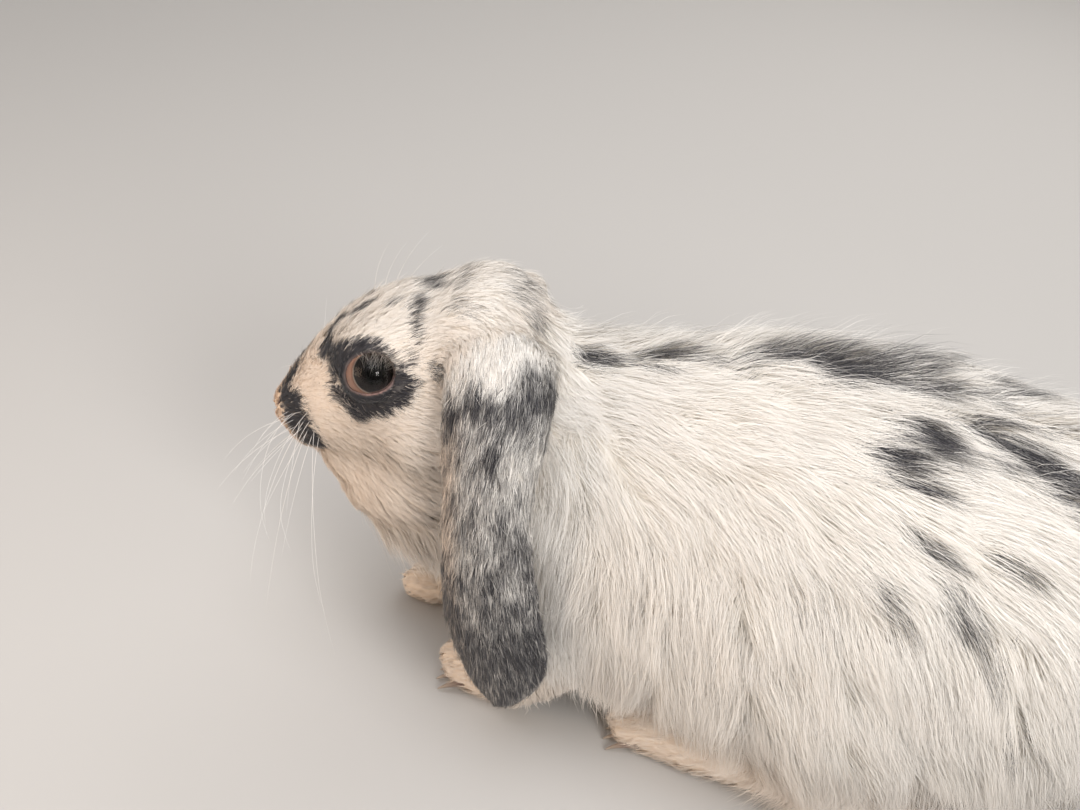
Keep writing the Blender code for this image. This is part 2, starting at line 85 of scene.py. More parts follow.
def bump(values: np.ndarray, width: float) -> np.ndarray:
    """A bell of height one: exp(-(value / width) squared).

    Args:
        values: distances from the bell's middle.
        width: its half width.

    Returns:
        Heights from 0 to 1.
    """
    return np.exp(-((values / width) ** 2))


def wander(points: np.ndarray, grain: float, seed: int) -> np.ndarray:
    """Smooth noise: random values at the corners of cubes of side grain, eased from corner to corner.

    Args:
        points: places, in any one unit.
        grain: the cubes' side, in that unit.
        seed: which of many such fields.

    Returns:
        One number from -1 to 1 for each place.
    """
    scaled = points / grain
    cell = np.floor(scaled).astype(np.int64)
    part = scaled - cell
    part = part * part * (3 - 2 * part)
    total = np.zeros(len(points))
    for corner in range(8):
        step = np.array([corner & 1, corner >> 1 & 1, corner >> 2 & 1])
        at = cell + step
        mixed = at[:, 0] * 73856093 ^ at[:, 1] * 19349663 ^ at[:, 2] * 83492791 ^ seed * 2654435761
        mixed = (mixed ^ mixed >> 13) * 1274126177 & 0xFFFFFFFF
        mixed = (mixed ^ mixed >> 16) * 2246822519 & 0xFFFFFFFF
        value = (mixed ^ mixed >> 15 & 0xFFFF) / 0x7FFFFFFF - 1
        weight = np.prod(np.where(step == 1, part, 1 - part), axis=1)
        total += weight * value
    return np.clip(total, -1, 1)


def square_up(directions: np.ndarray, normals: np.ndarray) -> np.ndarray:
    """Lays directions in the surface: each less its share along the normal, then made one long.

    Args:
        directions: rows of three numbers.
        normals: the surface's unit normals.

    Returns:
        Unit tangents.
    """
    along = np.sum(directions * normals, axis=-1, keepdims=True)
    return unit(directions - along * normals)


def put_mesh(name: str, points: np.ndarray, faces: np.ndarray) -> bpy.types.Object:
    """Makes a smooth-shaded mesh object at the origin.

    Args:
        name: the piece's name.
        points: places in metres.
        faces: rows of three or four point numbers.

    Returns:
        The linked object.
    """
    mesh = bpy.data.meshes.new(name)
    count, corners = faces.shape
    mesh.vertices.add(len(points))
    mesh.vertices.foreach_set("co", points.astype(np.float32).ravel())
    mesh.loops.add(count * corners)
    mesh.loops.foreach_set("vertex_index", faces.astype(np.int32).ravel())
    mesh.polygons.add(count)
    mesh.polygons.foreach_set("loop_start", np.arange(0, count * corners, corners, dtype=np.int32))
    mesh.update(calc_edges=True)
    made = bpy.data.objects.new(name, mesh)
    bpy.context.scene.collection.objects.link(made)
    return made


def store_colour(made: bpy.types.Object, name: str, colours: np.ndarray) -> None:
    """Stores four numbers for each point of a mesh object, as a named colour attribute."""
    attribute = made.data.attributes.new(name, "FLOAT_COLOR", "POINT")
    attribute.data.foreach_set("color", colours.astype(np.float32).ravel())


def mesh_points(mesh: bpy.types.Mesh) -> np.ndarray:
    """The places of a mesh's points, as rows."""
    found = np.empty(len(mesh.vertices) * 3, np.float32)
    mesh.vertices.foreach_get("co", found)
    return found.reshape(-1, 3).astype(float)


def mesh_triangles(mesh: bpy.types.Mesh) -> tuple[np.ndarray, np.ndarray]:
    """Reads a mesh's triangles.

    Args:
        mesh: any mesh.

    Returns:
        Rows of three point numbers, and rows of three corner numbers.
    """
    mesh.calc_loop_triangles()
    corners = np.empty(len(mesh.loop_triangles) * 3, np.int32)
    loops = np.empty(len(mesh.loop_triangles) * 3, np.int32)
    mesh.loop_triangles.foreach_get("vertices", corners)
    mesh.loop_triangles.foreach_get("loops", loops)
    return corners.reshape(-1, 3), loops.reshape(-1, 3)


def point_normals(points: np.ndarray, triangles: np.ndarray) -> np.ndarray:
    """Each point's normal: the sum of its triangles' area vectors, made one long.

    Args:
        points: places.
        triangles: rows of three point numbers.

    Returns:
        One unit normal for each point.
    """
    a, b, c = (points[triangles[:, i]] for i in range(3))
    area = np.cross(b - a, c - a)
    total = np.zeros_like(points)
    for axis in range(3):
        for corner in range(3):
            total[:, axis] += np.bincount(triangles[:, corner], weights=area[:, axis], minlength=len(points))
    return unit(total)


def relax(values: np.ndarray, edges: np.ndarray, passes: int, share: float = 0.5) -> np.ndarray:
    """Evens values out along edges: each moves by share towards the mean of its neighbours, again and again.

    Args:
        values: one row for each point.
        edges: rows of two point numbers.
        passes: how many times.
        share: how far each time.

    Returns:
        The evened values.
    """
    flat = values.reshape(len(values), -1).astype(float)
    ends = np.concatenate([edges, edges[:, ::-1]])
    count = np.maximum(np.bincount(ends[:, 0], minlength=len(flat)), 1)
    for _ in range(passes):
        sums = [np.bincount(ends[:, 0], weights=column[ends[:, 1]], minlength=len(flat)) for column in flat.T]
        flat = flat + share * (np.stack(sums, axis=1) / count[:, None] - flat)
    return flat.reshape(values.shape)


def edges_of(triangles: np.ndarray) -> np.ndarray:
    """The edges of triangles, each once, as rows of two point numbers."""
    ends = np.concatenate([triangles[:, [0, 1]], triangles[:, [1, 2]], triangles[:, [2, 0]]])
    return np.unique(np.sort(ends, axis=1), axis=0)


def grid_faces(rows: int, columns: int, closed: bool) -> np.ndarray:
    """The four-sided faces of a grid of points numbered row by row.

    Args:
        rows: how many rows of points.
        columns: how many points in a row.
        closed: whether each row is a ring.

    Returns:
        Rows of four point numbers.
    """
    across = columns if closed else columns - 1
    row, column = np.meshgrid(np.arange(rows - 1), np.arange(across), indexing="ij")
    column, beside = column.ravel(), (column.ravel() + 1) % columns
    here, below = row.ravel() * columns, (row.ravel() + 1) * columns
    return np.stack([here + column, here + beside, below + beside, below + column], axis=1)


# ---------------------------------------------------------------- the body plan


class Part(Enum):
    """The charts on which a marking is placed."""

    TRUNK = "trunk"
    HEAD = "head"
    LEFT_EAR = "left ear"
    RIGHT_EAR = "right ear"


@dataclass
class BodyPlan:
    """The rabbit's own measures in millimetres: x runs from nose to tail, y to its right and z up."""

    nose: tuple[float, float, float] = (9.0, -17.0, 95.0)
    turn: float = 12.0
    drop: float = 19.0
    tilt: float = -11.0
    eye: tuple[float, float, float] = (40.0, 17.0, 13.5)
    globe_ahead: float = 1.0
    globe_radius: float = 8.9
    gaze: tuple[float, float, float] = (0.09, 0.947, 0.31)
    iris_gaze: tuple[float, float, float] = (0.27, 0.90, 0.33)
    opening: tuple[float, float] = (59.0, 44.5)
    spine_height: float = 84.0
    ear_line: tuple[tuple[float, float, float], ...] = (
        (78, -14, 138),
        (81, -24, 140.5),
        (84, -36, 135.5),
        (85.5, -46, 124),
        (87, -52, 107),
        (90, -56, 86),
        (94, -56, 63),
        (98, -53, 45),
        (99, -51, 33),
        (99.5, -50, 26),
    )
    right_ear_shift: float = 17.0
    right_ear_widen: float = -10.0
    right_ear_drop: float = 14.0
    shift: np.ndarray = field(init=False)
    axes: np.ndarray = field(init=False)

    def __post_init__(self) -> None:
        """Works out the head's axes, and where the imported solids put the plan's own origin."""
        turn = Matrix.Rotation(math.radians(self.turn), 3, "Z")
        drop = Matrix.Rotation(math.radians(-self.drop), 3, "Y")
        tilt = Matrix.Rotation(math.radians(self.tilt), 3, "X")
        self.axes = np.array(turn @ drop @ tilt)
        low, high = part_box("eye_left")
        local = np.array(self.eye) * (1, -1, 1)
        self.shift = np.array(self.nose) + self.axes @ local - (np.array(low) + np.array(high)) / 2 / MM

    def to_frame(self, places: np.ndarray) -> np.ndarray:
        """Millimetres of the plan to metres of the frame."""
        return (np.asarray(places, float) - self.shift) * MM

    def to_plan(self, points: np.ndarray) -> np.ndarray:
        """Metres of the frame to millimetres of the plan."""
        return points / MM + self.shift

    def from_head(self, places: np.ndarray) -> np.ndarray:
        """Millimetres in the head, back from the nose tip, to metres of the frame."""
        return self.to_frame(np.asarray(places, float) @ self.axes.T + np.array(self.nose))

    def in_head(self, points: np.ndarray) -> np.ndarray:
        """Metres of the frame to millimetres in the head."""
        return (self.to_plan(points) - np.array(self.nose)) @ self.axes

    def globe(self, hand: float) -> np.ndarray:
        """The middle of one eye's globe, in metres of the frame."""
        return self.from_head(np.array(self.eye) * (1, hand, 1) - (self.globe_ahead, 0, 0))

    def looking(self, hand: float, gaze: tuple[float, float, float]) -> np.ndarray:
        """The axes fore, up and out at one eye, as rows, for a gaze given in the head's right half."""
        out = unit(self.axes @ (np.array(gaze) * (1, hand, 1)))
        fore = square_up(self.axes @ np.array([-1.0, 0, 0]), out)
        up = np.cross(out, fore)
        return np.stack([fore, up * np.sign(up[2]), out])

    def round_eye(self, points: np.ndarray, hand: float) -> tuple[np.ndarray, np.ndarray, np.ndarray]:
        """Where points lie about one eye.

        Args:
            points: places in metres of the frame.
            hand: the side, -1 for the left.

        Returns:
            Distances from the globe's middle in millimetres, then two angles in degrees: from the opening's
            axis, and round it, from the nose over the brow.
        """
        local = (points - self.globe(hand)) @ self.looking(hand, self.gaze).T / MM
        distance = np.linalg.norm(local, axis=-1)
        off = np.degrees(np.arccos(np.clip(local[..., 2] / np.maximum(distance, 1e-6), -1, 1)))
        return distance, off, np.degrees(np.arctan2(local[..., 1], local[..., 0])) % 360

    def lid_edge(self, around: np.ndarray) -> np.ndarray:
        """The lids' half opening in degrees: an oval, wider in front and above, with a low front corner."""
        turn = np.radians(around)
        wide = self.opening[0] + 3 * np.cos(turn)
        high = self.opening[1] + 2 * np.sin(turn)
        corner = 6 * bump((around - 338 + 180) % 360 - 180, 16)
        return 1 / np.hypot(np.cos(turn) / wide, np.sin(turn) / high) + corner

    def over_eye(self, points: np.ndarray, hand: float, margin: float) -> np.ndarray:
        """Which points lie over one eye's opening, looked at along its axis, with a margin in degrees."""
        distance, off, around = self.round_eye(points, hand)
        rim = self.globe_radius * np.sin(np.radians(np.minimum(self.lid_edge(around) + margin, 90)))
        return (distance * np.sin(np.radians(off)) < rim) & (off < 90) & (distance < 18)

    def ear_points(self, hand: float) -> np.ndarray:
        """The middle line of one ear, in millimetres of the plan."""
        line = np.array(self.ear_line, float)
        if hand > 0:
            line = line * (1, -1, 1) + (-self.right_ear_shift, self.right_ear_widen, 0)
            line[:, 2] -= self.right_ear_drop * np.clip((line[:, 2] - 60) / 60, 0, 1)
        return line

    def chart(self, points: np.ndarray, part: Part) -> np.ndarray:
        """Where points lie on one part's chart.

        On the trunk and the head, the first number is the place along the part's axis in millimetres, and the
        second the angle round it in degrees, from the top to the left. On an ear, they are the way along its
        middle line and the way across towards the tail, in millimetres.

        Args:
            points: places in metres of the frame.
            part: whose chart.

        Returns:
            Rows of two numbers.
        """
        if part in (Part.TRUNK, Part.HEAD):
            in_trunk = self.to_plan(points) - (0, 0, self.spine_height)
            local = in_trunk if part is Part.TRUNK else self.in_head(points)
            return np.stack([local[:, 0], np.degrees(np.arctan2(-local[:, 1], local[:, 2]))], 1)
        line = self.ear_points(-1.0 if part is Part.LEFT_EAR else 1.0)
        along, nearest, _ = nearest_on_line(self.to_plan(points), line)
        return np.stack([along, self.to_plan(points)[:, 0] - nearest[:, 0]], 1)


def nearest_on_line(points: np.ndarray, line: np.ndarray) -> tuple[np.ndarray, np.ndarray, np.ndarray]:
    """The nearest place on a line of straight stretches.

    Args:
        points: rows of three numbers.
        line: the stretches' ends, in order.

    Returns:
        The way along the line, the place there, and the line's direction there.
    """
    best = np.full(len(points), np.inf)
    along = np.zeros(len(points))
    nearest = np.zeros((len(points), 3))
    heading = np.zeros((len(points), 3))
    passed = 0.0
    for start, end in zip(line[:-1], line[1:]):
        step = end - start
        length = float(np.linalg.norm(step))
        share = np.clip((points - start) @ step / length**2, 0, 1)
        place = start + share[:, None] * step
        gap = np.linalg.norm(points - place, axis=1)
        closer = gap < best
        best = np.where(closer, gap, best)
        along = np.where(closer, passed + share * length, along)
        nearest = np.where(closer[:, None], place, nearest)
        heading = np.where(closer[:, None], step / length, heading)
        passed += length
    return along, nearest, heading


# ---------------------------------------------------------------- the markings


@dataclass(frozen=True)
class Spot:
    """One dark patch: a ragged oval on a part's chart. Density is the share of its hairs that are dark."""

    part: Part
    along: float
    around: float
    length: float
    width: float
    slant: float = 0.0
    density: float = 0.9


def spots_on(part: Part, *rows: tuple[float, ...]) -> tuple[Spot, ...]:
    """The spots of one part, from rows of along, around, length, width, slant and density."""
    return tuple(Spot(part, *row) for row in rows)


TRUNK_SPOTS = spots_on(
    Part.TRUNK,
    # the spine's broken stripe, from the nape to the rump
    (109, 6, 6, 6, 0, 0.75),
    (118, 4, 4, 4, 0, 0.5),
    (131, 0, 8, 6, 0, 0.95),
    (126, 8, 5, 3, 0, 0.6),
    (140, 4, 6, 4, 0, 0.5),
    (159, -2, 8, 6.5, 0, 0.88),
    (166, -9, 7, 6, 0, 0.6),
    (178, -1, 10, 10, 0, 0.97),
    (189, -4, 9, 10, 0, 0.92),
    (201, -11, 9, 8, 0, 0.85),
    (206, 1, 10, 6, 8, 0.78),
    (219, -1, 9, 5, 0, 0.62),
    (233, 2, 10, 5, 0, 0.6),
    (246, -3, 9, 5, 0, 0.5),
    (264, 2, 10, 6, 0, 0.6),
    # the loin's patches, left and right
    (206, 19, 8, 5, 15, 0.93),
    (200, 27, 7, 5.5, 40, 0.95),
    (209, 32, 7, 3.8, 0, 0.82),
    (215, 24, 4, 4, 0, 0.6),
    (225, 10, 9, 5, 10, 0.9),
    (236, 16, 10, 6, 15, 0.92),
    (247, 21, 9, 5, 15, 0.85),
    (228, 20, 7, 3.5, 0, 0.55),
    (258, 28, 8, 4, 10, 0.55),
    (196, -26, 8, 6, -25, 0.85),
    (214, -32, 9, 5, 0, 0.8),
    (232, -18, 10, 5, -12, 0.85),
    (250, -30, 8, 5, 0, 0.6),
    # scattered small ones on the flanks and haunches
    (210, 46, 6, 2, 25, 0.6),
    (219, 50, 6, 2, 25, 0.5),
    (240, 48, 4.5, 3.5, 40, 0.85),
    (203, 62, 5, 3.5, 70, 0.8),
    (208, 69, 5, 3, 70, 0.75),
    (187, 71, 8, 8, 0, 0.2),
    (223, 61, 6, 4, 70, 0.4),
    (229, 69, 8, 4.5, 70, 0.6),
    (237, 78, 6, 3.5, 60, 0.45),
    (253, 107, 6, 4, 0, 0.5),
    (113, 67, 4, 5, 70, 0.4),
    (150, -52, 8, 6, 30, 0.7),
    (178, -66, 7, 5, 0, 0.5),
    (205, -58, 8, 6, 60, 0.8),
    (230, -72, 9, 5, 0, 0.6),
    (250, -55, 6, 5, 0, 0.6),
    (216, -100, 7, 6, 0, 0.4),
    (120, -70, 5, 4, 0, 0.35),
    (284, 18, 8, 7, 0, 0.6),
    (292, -28, 8, 7, 0, 0.5),
    (318, 8, 8, 20, 0, 0.85),
)
HEAD_SPOTS = spots_on(
    Part.HEAD,
    # the forehead's and the crown's dashes
    (15, 5, 4.2, 1.5, 0, 0.85),
    (40, 10, 4.4, 1.5, -8, 0.9),
    (51, 14, 2.4, 1.2, 0, 0.55),
    (62, -4, 4.5, 2.2, -20, 0.7),
    (58.5, 24, 2.1, 5.5, 8, 0.8),
    (58, 38, 1.8, 4, 0, 0.75),
    (55, 52, 1.8, 2.4, 0, 0.5),
    (72, 8, 4, 5, 0, 0.3),
    (62, 62, 2, 4, 0, 0.5),
    (74, 33, 6, 3, 35, 0.35),
    (90, 12, 4, 9, 0, 0.4),
    (92, 40, 3, 8, 0, 0.45),
)
CHART_RADIUS = {Part.TRUNK: 62.0, Part.HEAD: 26.0}
OUT_OF_REACH = 99.0  # millimetres, beyond every ring


@dataclass(frozen=True)
class Stroke:
    """A dark band of the head: a line through places in its right half, and the band's half width at each."""

    places: tuple[tuple[float, float, float], ...]
    widths: tuple[float, ...]
    density: float = 0.95


STROKES = (
    # the smudge from the nose's bridge down to the lip
    Stroke(
        (
            (12, 4, 15),
            (7.5, 6, 11),
            (7, 8.5, 8),
            (10, 12, 5),
            (10.5, 13.5, 0.5),
            (12, 14.2, -4),
            (14, 13.8, -9.5),
        ),
        (1.6, 2.4, 3.2, 4.8, 4.8, 4.2, 2.8),
    ),
    # the horn that rises from the eye's ring to the forehead
    Stroke(((28, 13, 21), (26, 9, 24), (28, 6, 27), (32, 5, 30)), (3.0, 2.0, 1.5, 0.8), 0.95),
)


@dataclass(frozen=True)
class EyeRing:
    """The dark fur round an eye, by the angle from the nose over the brow.

    Each row holds an angle in degrees, the reach across the opening's axis in millimetres from the globe's
    middle, and the share of dark hairs.
    """

    rows: tuple[tuple[float, float, float], ...] = (
        (0, 15, 0.95),
        (25, 15, 0.95),
        (45, 16.8, 0.97),
        (58, 15, 0.97),
        (72, 12, 0.97),
        (90, 11, 0.95),
        (112, 11.3, 0.85),
        (135, 10.8, 0.7),
        (160, 11, 0.62),
        (180, 12.5, 0.75),
        (192, 16.5, 0.95),
        (203, 15, 0.95),
        (215, 14, 0.9),
        (228, 16.5, 0.93),
        (240, 13.2, 0.9),
        (270, 14.5, 0.95),
        (288, 15.5, 0.95),
        (300, 24, 0.97),
        (311, 16.5, 0.95),
        (335, 15, 0.95),
        (360, 15, 0.95),
    )


@dataclass(frozen=True)
class Markings:
    """The dark pattern that skin and coat share."""

    plan: BodyPlan
    spots: tuple[Spot, ...]
    strokes: tuple[Stroke, ...]
    ring: EyeRing
    edge: float = 0.42
    fray: float = 0.8

    def spot_radius(self, spot: Spot, chart: np.ndarray) -> np.ndarray:
        """How far out points are in a spot: 0 in its middle and 1 at its oval's edge.

        Args:
            spot: the patch.
            chart: the points on the spot's chart.

        Returns:
            One number for each point.
        """
        along = chart[:, 0] - spot.along
        around = chart[:, 1] - spot.around
        if spot.part in CHART_RADIUS:
            around = (around + 180) % 360 - 180
            around = np.radians(around) * CHART_RADIUS[spot.part]
        slant = math.radians(spot.slant)
        first = (along * math.cos(slant) + around * math.sin(slant)) / spot.length
        second = (around * math.cos(slant) - along * math.sin(slant)) / spot.width
        return np.hypot(first, second)

    def head_tone(self, points: np.ndarray, ragged: np.ndarray) -> np.ndarray:
        """The rings round the eyes and the bands of the muzzle and brow.

        Args:
            points: places in metres of the frame.
            ragged: the noise that frays their edges.

        Returns:
            Shares of dark hairs.
        """
        dark = np.zeros(len(points))
        local = self.plan.in_head(points)
        for _, hand in SIDES:
            distance, off, around = self.plan.round_eye(points, hand)
            across = np.where(off < 90, distance * np.sin(np.radians(off)), OUT_OF_REACH)
            angles, reaches, densities = np.array(self.ring.rows).T
            reach, density = np.interp(around, angles, reaches), np.interp(around, angles, densities)
            radius = across / reach + 0.5 * ragged
            dark = np.maximum(dark, density * (1 - ease(radius, 0.90, 1.15)))
            for stroke in self.strokes:
                line = np.array(stroke.places) * (1, hand, 1) + (0, 0, 0.8 * (hand > 0))
                along, nearest, _ = nearest_on_line(local, line)
                steps = np.linalg.norm(np.diff(line, axis=0), axis=1)
                width = np.interp(along, np.concatenate([[0], np.cumsum(steps)]), stroke.widths)
                radius = np.linalg.norm(local - nearest, axis=1) / (width + 1.0) + 0.9 * ragged
                dark = np.maximum(dark, stroke.density * (1 - ease(radius, 0.8, 1.25)))
        return dark

    def darkness(self, points: np.ndarray, parts: dict[Part, np.ndarray]) -> np.ndarray:
        """The share of dark hairs at each point.

        Args:
            points: places in metres of the frame.
            parts: for each chart, how far each point belongs to it.

        Returns:
            Shares from 0 to 1.
        """
        plan = self.plan.to_plan(points)
        side = ease(np.abs(self.plan.chart(points, Part.TRUNK)[:, 1]), 25, 65)
        fine = (1 - side) * wander(plan * (0.3, 1, 1), 2.4, 9) + side * wander(plan * (0.8, 1, 0.35), 2.6, 10)
        total = np.zeros(len(points))
        for part, member in parts.items():
            chart = self.plan.chart(points, part)
            dark = np.zeros(len(points))
            ragged = self.fray * (0.5 * wander(plan, 6.5, 5) + 0.5 * fine)
            if part is Part.HEAD:
                ragged = 0.5 * self.fray * (0.5 * wander(plan, 4.0, 5) + 0.5 * wander(plan, 1.5, 6))
            for spot in self.spots:
                if spot.part is part:
                    radius = self.spot_radius(spot, chart) + ragged
                    dark = np.maximum(dark, spot.density * (1 - ease(radius, 1 - self.edge, 1 + self.edge)))
            if part is Part.HEAD:
                dark = np.maximum(dark, self.head_tone(points, ragged))
            if part in (Part.LEFT_EAR, Part.RIGHT_EAR):
                dark = np.maximum(dark, self.ear_tone(points, chart))
            total = np.maximum(total, dark * member)
        return total

    def ear_tone(self, points: np.ndarray, chart: np.ndarray) -> np.ndarray:
        """An ear's steel grey: pale at the root, a black band under the arch, streaks below, even at the tip.

        Args:
            points: places in metres of the frame.
            chart: the way along and across the ear.

        Returns:
            Shares of dark hairs.
        """
        along, across = chart[:, 0], chart[:, 1]
        drawn = np.stack([along * MM / 3.0, across * MM, points[:, 1] * 0.3], axis=1)
        broad = wander(points, 8 * MM, 21)
        streak = 0.55 * wander(drawn, 2.6 * MM, 22) + 0.45 * wander(drawn, 1.2 * MM, 23)
        slanted = along + 0.28 * across
        root = 0.20 * ease(along, 4, 18) * (0.6 + 0.4 * streak)
        width = np.where(slanted < 31, 5.5, 11.0) + 2.0 * ease(across, -2, 10)
        band = 0.92 * bump(slanted - 31 + 3.5 * broad + 4.0 * streak, width)
        base = 0.42 + 0.14 * bump(slanted - 46, 11) + 0.18 * ease(along, 62, 88) + 0.14 * ease(along, 92, 122)
        lower = ease(slanted, 30, 40) * np.clip(base + 0.15 * broad + 0.22 * streak, 0, 1)
        pale_back = 0.26 * bump(along - 48, 14) * ease(across, 1, 9)
        pale_front = 0.16 * bump(along - 50, 16) * ease(-across, 5, 12)
        return np.clip(np.maximum(band, root + lower - pale_back - pale_front), 0, 0.96)


def both_sides(spots: tuple[Spot, ...]) -> tuple[Spot, ...]:
    """The head's spots with their fellows on the other side, each a little moved.

    Args:
        spots: the left side's spots.

    Returns:
        Both sides' spots.
    """
    made = list(spots)
    for number, spot in enumerate(spots):
        nudge = 1.5 * math.sin(2.3 * number)
        place = {"along": spot.along + nudge, "around": 2 * nudge - spot.around}
        made.append(replace(spot, **place, slant=-spot.slant))
    return tuple(made)


# ---------------------------------------------------------------- the skin


@dataclass(frozen=True)
class Hair:
    """The coat over one part of the body, in millimetres: how deep it lies, how long its hairs are."""

    depth: float
    length: float


HAIR = {
    "muzzle": Hair(1.4, 3.4),
    "head": Hair(2.3, 6.0),
    "throat": Hair(5.0, 13.0),
    "neck": Hair(5.5, 14.0),
    "chest": Hair(6.5, 18.0),
    "belly": Hair(7.0, 21.0),
    "rump": Hair(7.5, 22.0),
    "tail": Hair(5.0, 13.0),
    "thigh": Hair(6.5, 20.0),
    "upper_foreleg": Hair(6.0, 17.0),
    "forearm": Hair(3.0, 10.0),
    "forefoot": Hair(1.6, 3.6),
    "hock": Hair(2.4, 6.5),
    "hindfoot": Hair(1.9, 4.2),
    "ear": Hair(1.5, 6.5),
}


def kind_of(node: str) -> str:
    """The kind of part a node is, without its side."""
    return node.removesuffix("_left").removesuffix("_right")


@dataclass(frozen=True)
class Groove:
    """A line pressed into the skin, through places in the head's right half, in millimetres."""

    places: tuple[tuple[float, float, float], ...]
    width: float
    depth: float


GROOVES = (
    Groove(((3.4, 5.6, 4.6), (1.9, 4.2, 3.0), (1.2, 2.2, 0.8), (1.4, 1.2, -0.8)), 0.75, 2.2),
    Groove(((1.0, 0, 0.5), (1.8, 0, -3.0), (4.2, 0, -7.0)), 0.6, 1.2),
    Groove(((4.2, 0, -7.5), (6.5, 3.5, -9.5), (11, 7.5, -11.5), (17, 10.5, -12.5)), 0.7, 1.2),
)


# the lids' rings: degrees beyond the opening's edge, millimetres out from the globe, and how bare they are
LID_BEYOND = np.array([-0.5, -1.0, 0.0, 1.2, 2.5, 5.0, 9.0, 14.0, 20.0, 28.0, 38.0])
LID_OUT = np.array([-0.9, 0.0, 0.2, 0.32, 0.42, 0.62, 0.85, 0.9, 0.6, -0.1, -1.4])
LID_PINK = np.array([1.0, 1.0, 1.0, 0.9, 0.2, 0.0, 0.0, 0.0, 0.0, 0.0, 0.0])
LID_FURRED_FROM = 2.5
LID_DEPTH = 0.95
LID_LENGTH = 3.4


def gather_triangles(parts: list[tuple[np.ndarray, np.ndarray]]) -> tuple[np.ndarray, np.ndarray]:
    """Joins points and triangles of several bodies into one list of each."""
    counts = np.cumsum([0] + [len(points) for points, _ in parts[:-1]])
    triangles = np.concatenate([faces + count for (_, faces), count in zip(parts, counts)])
    return np.concatenate([points for points, _ in parts]), triangles


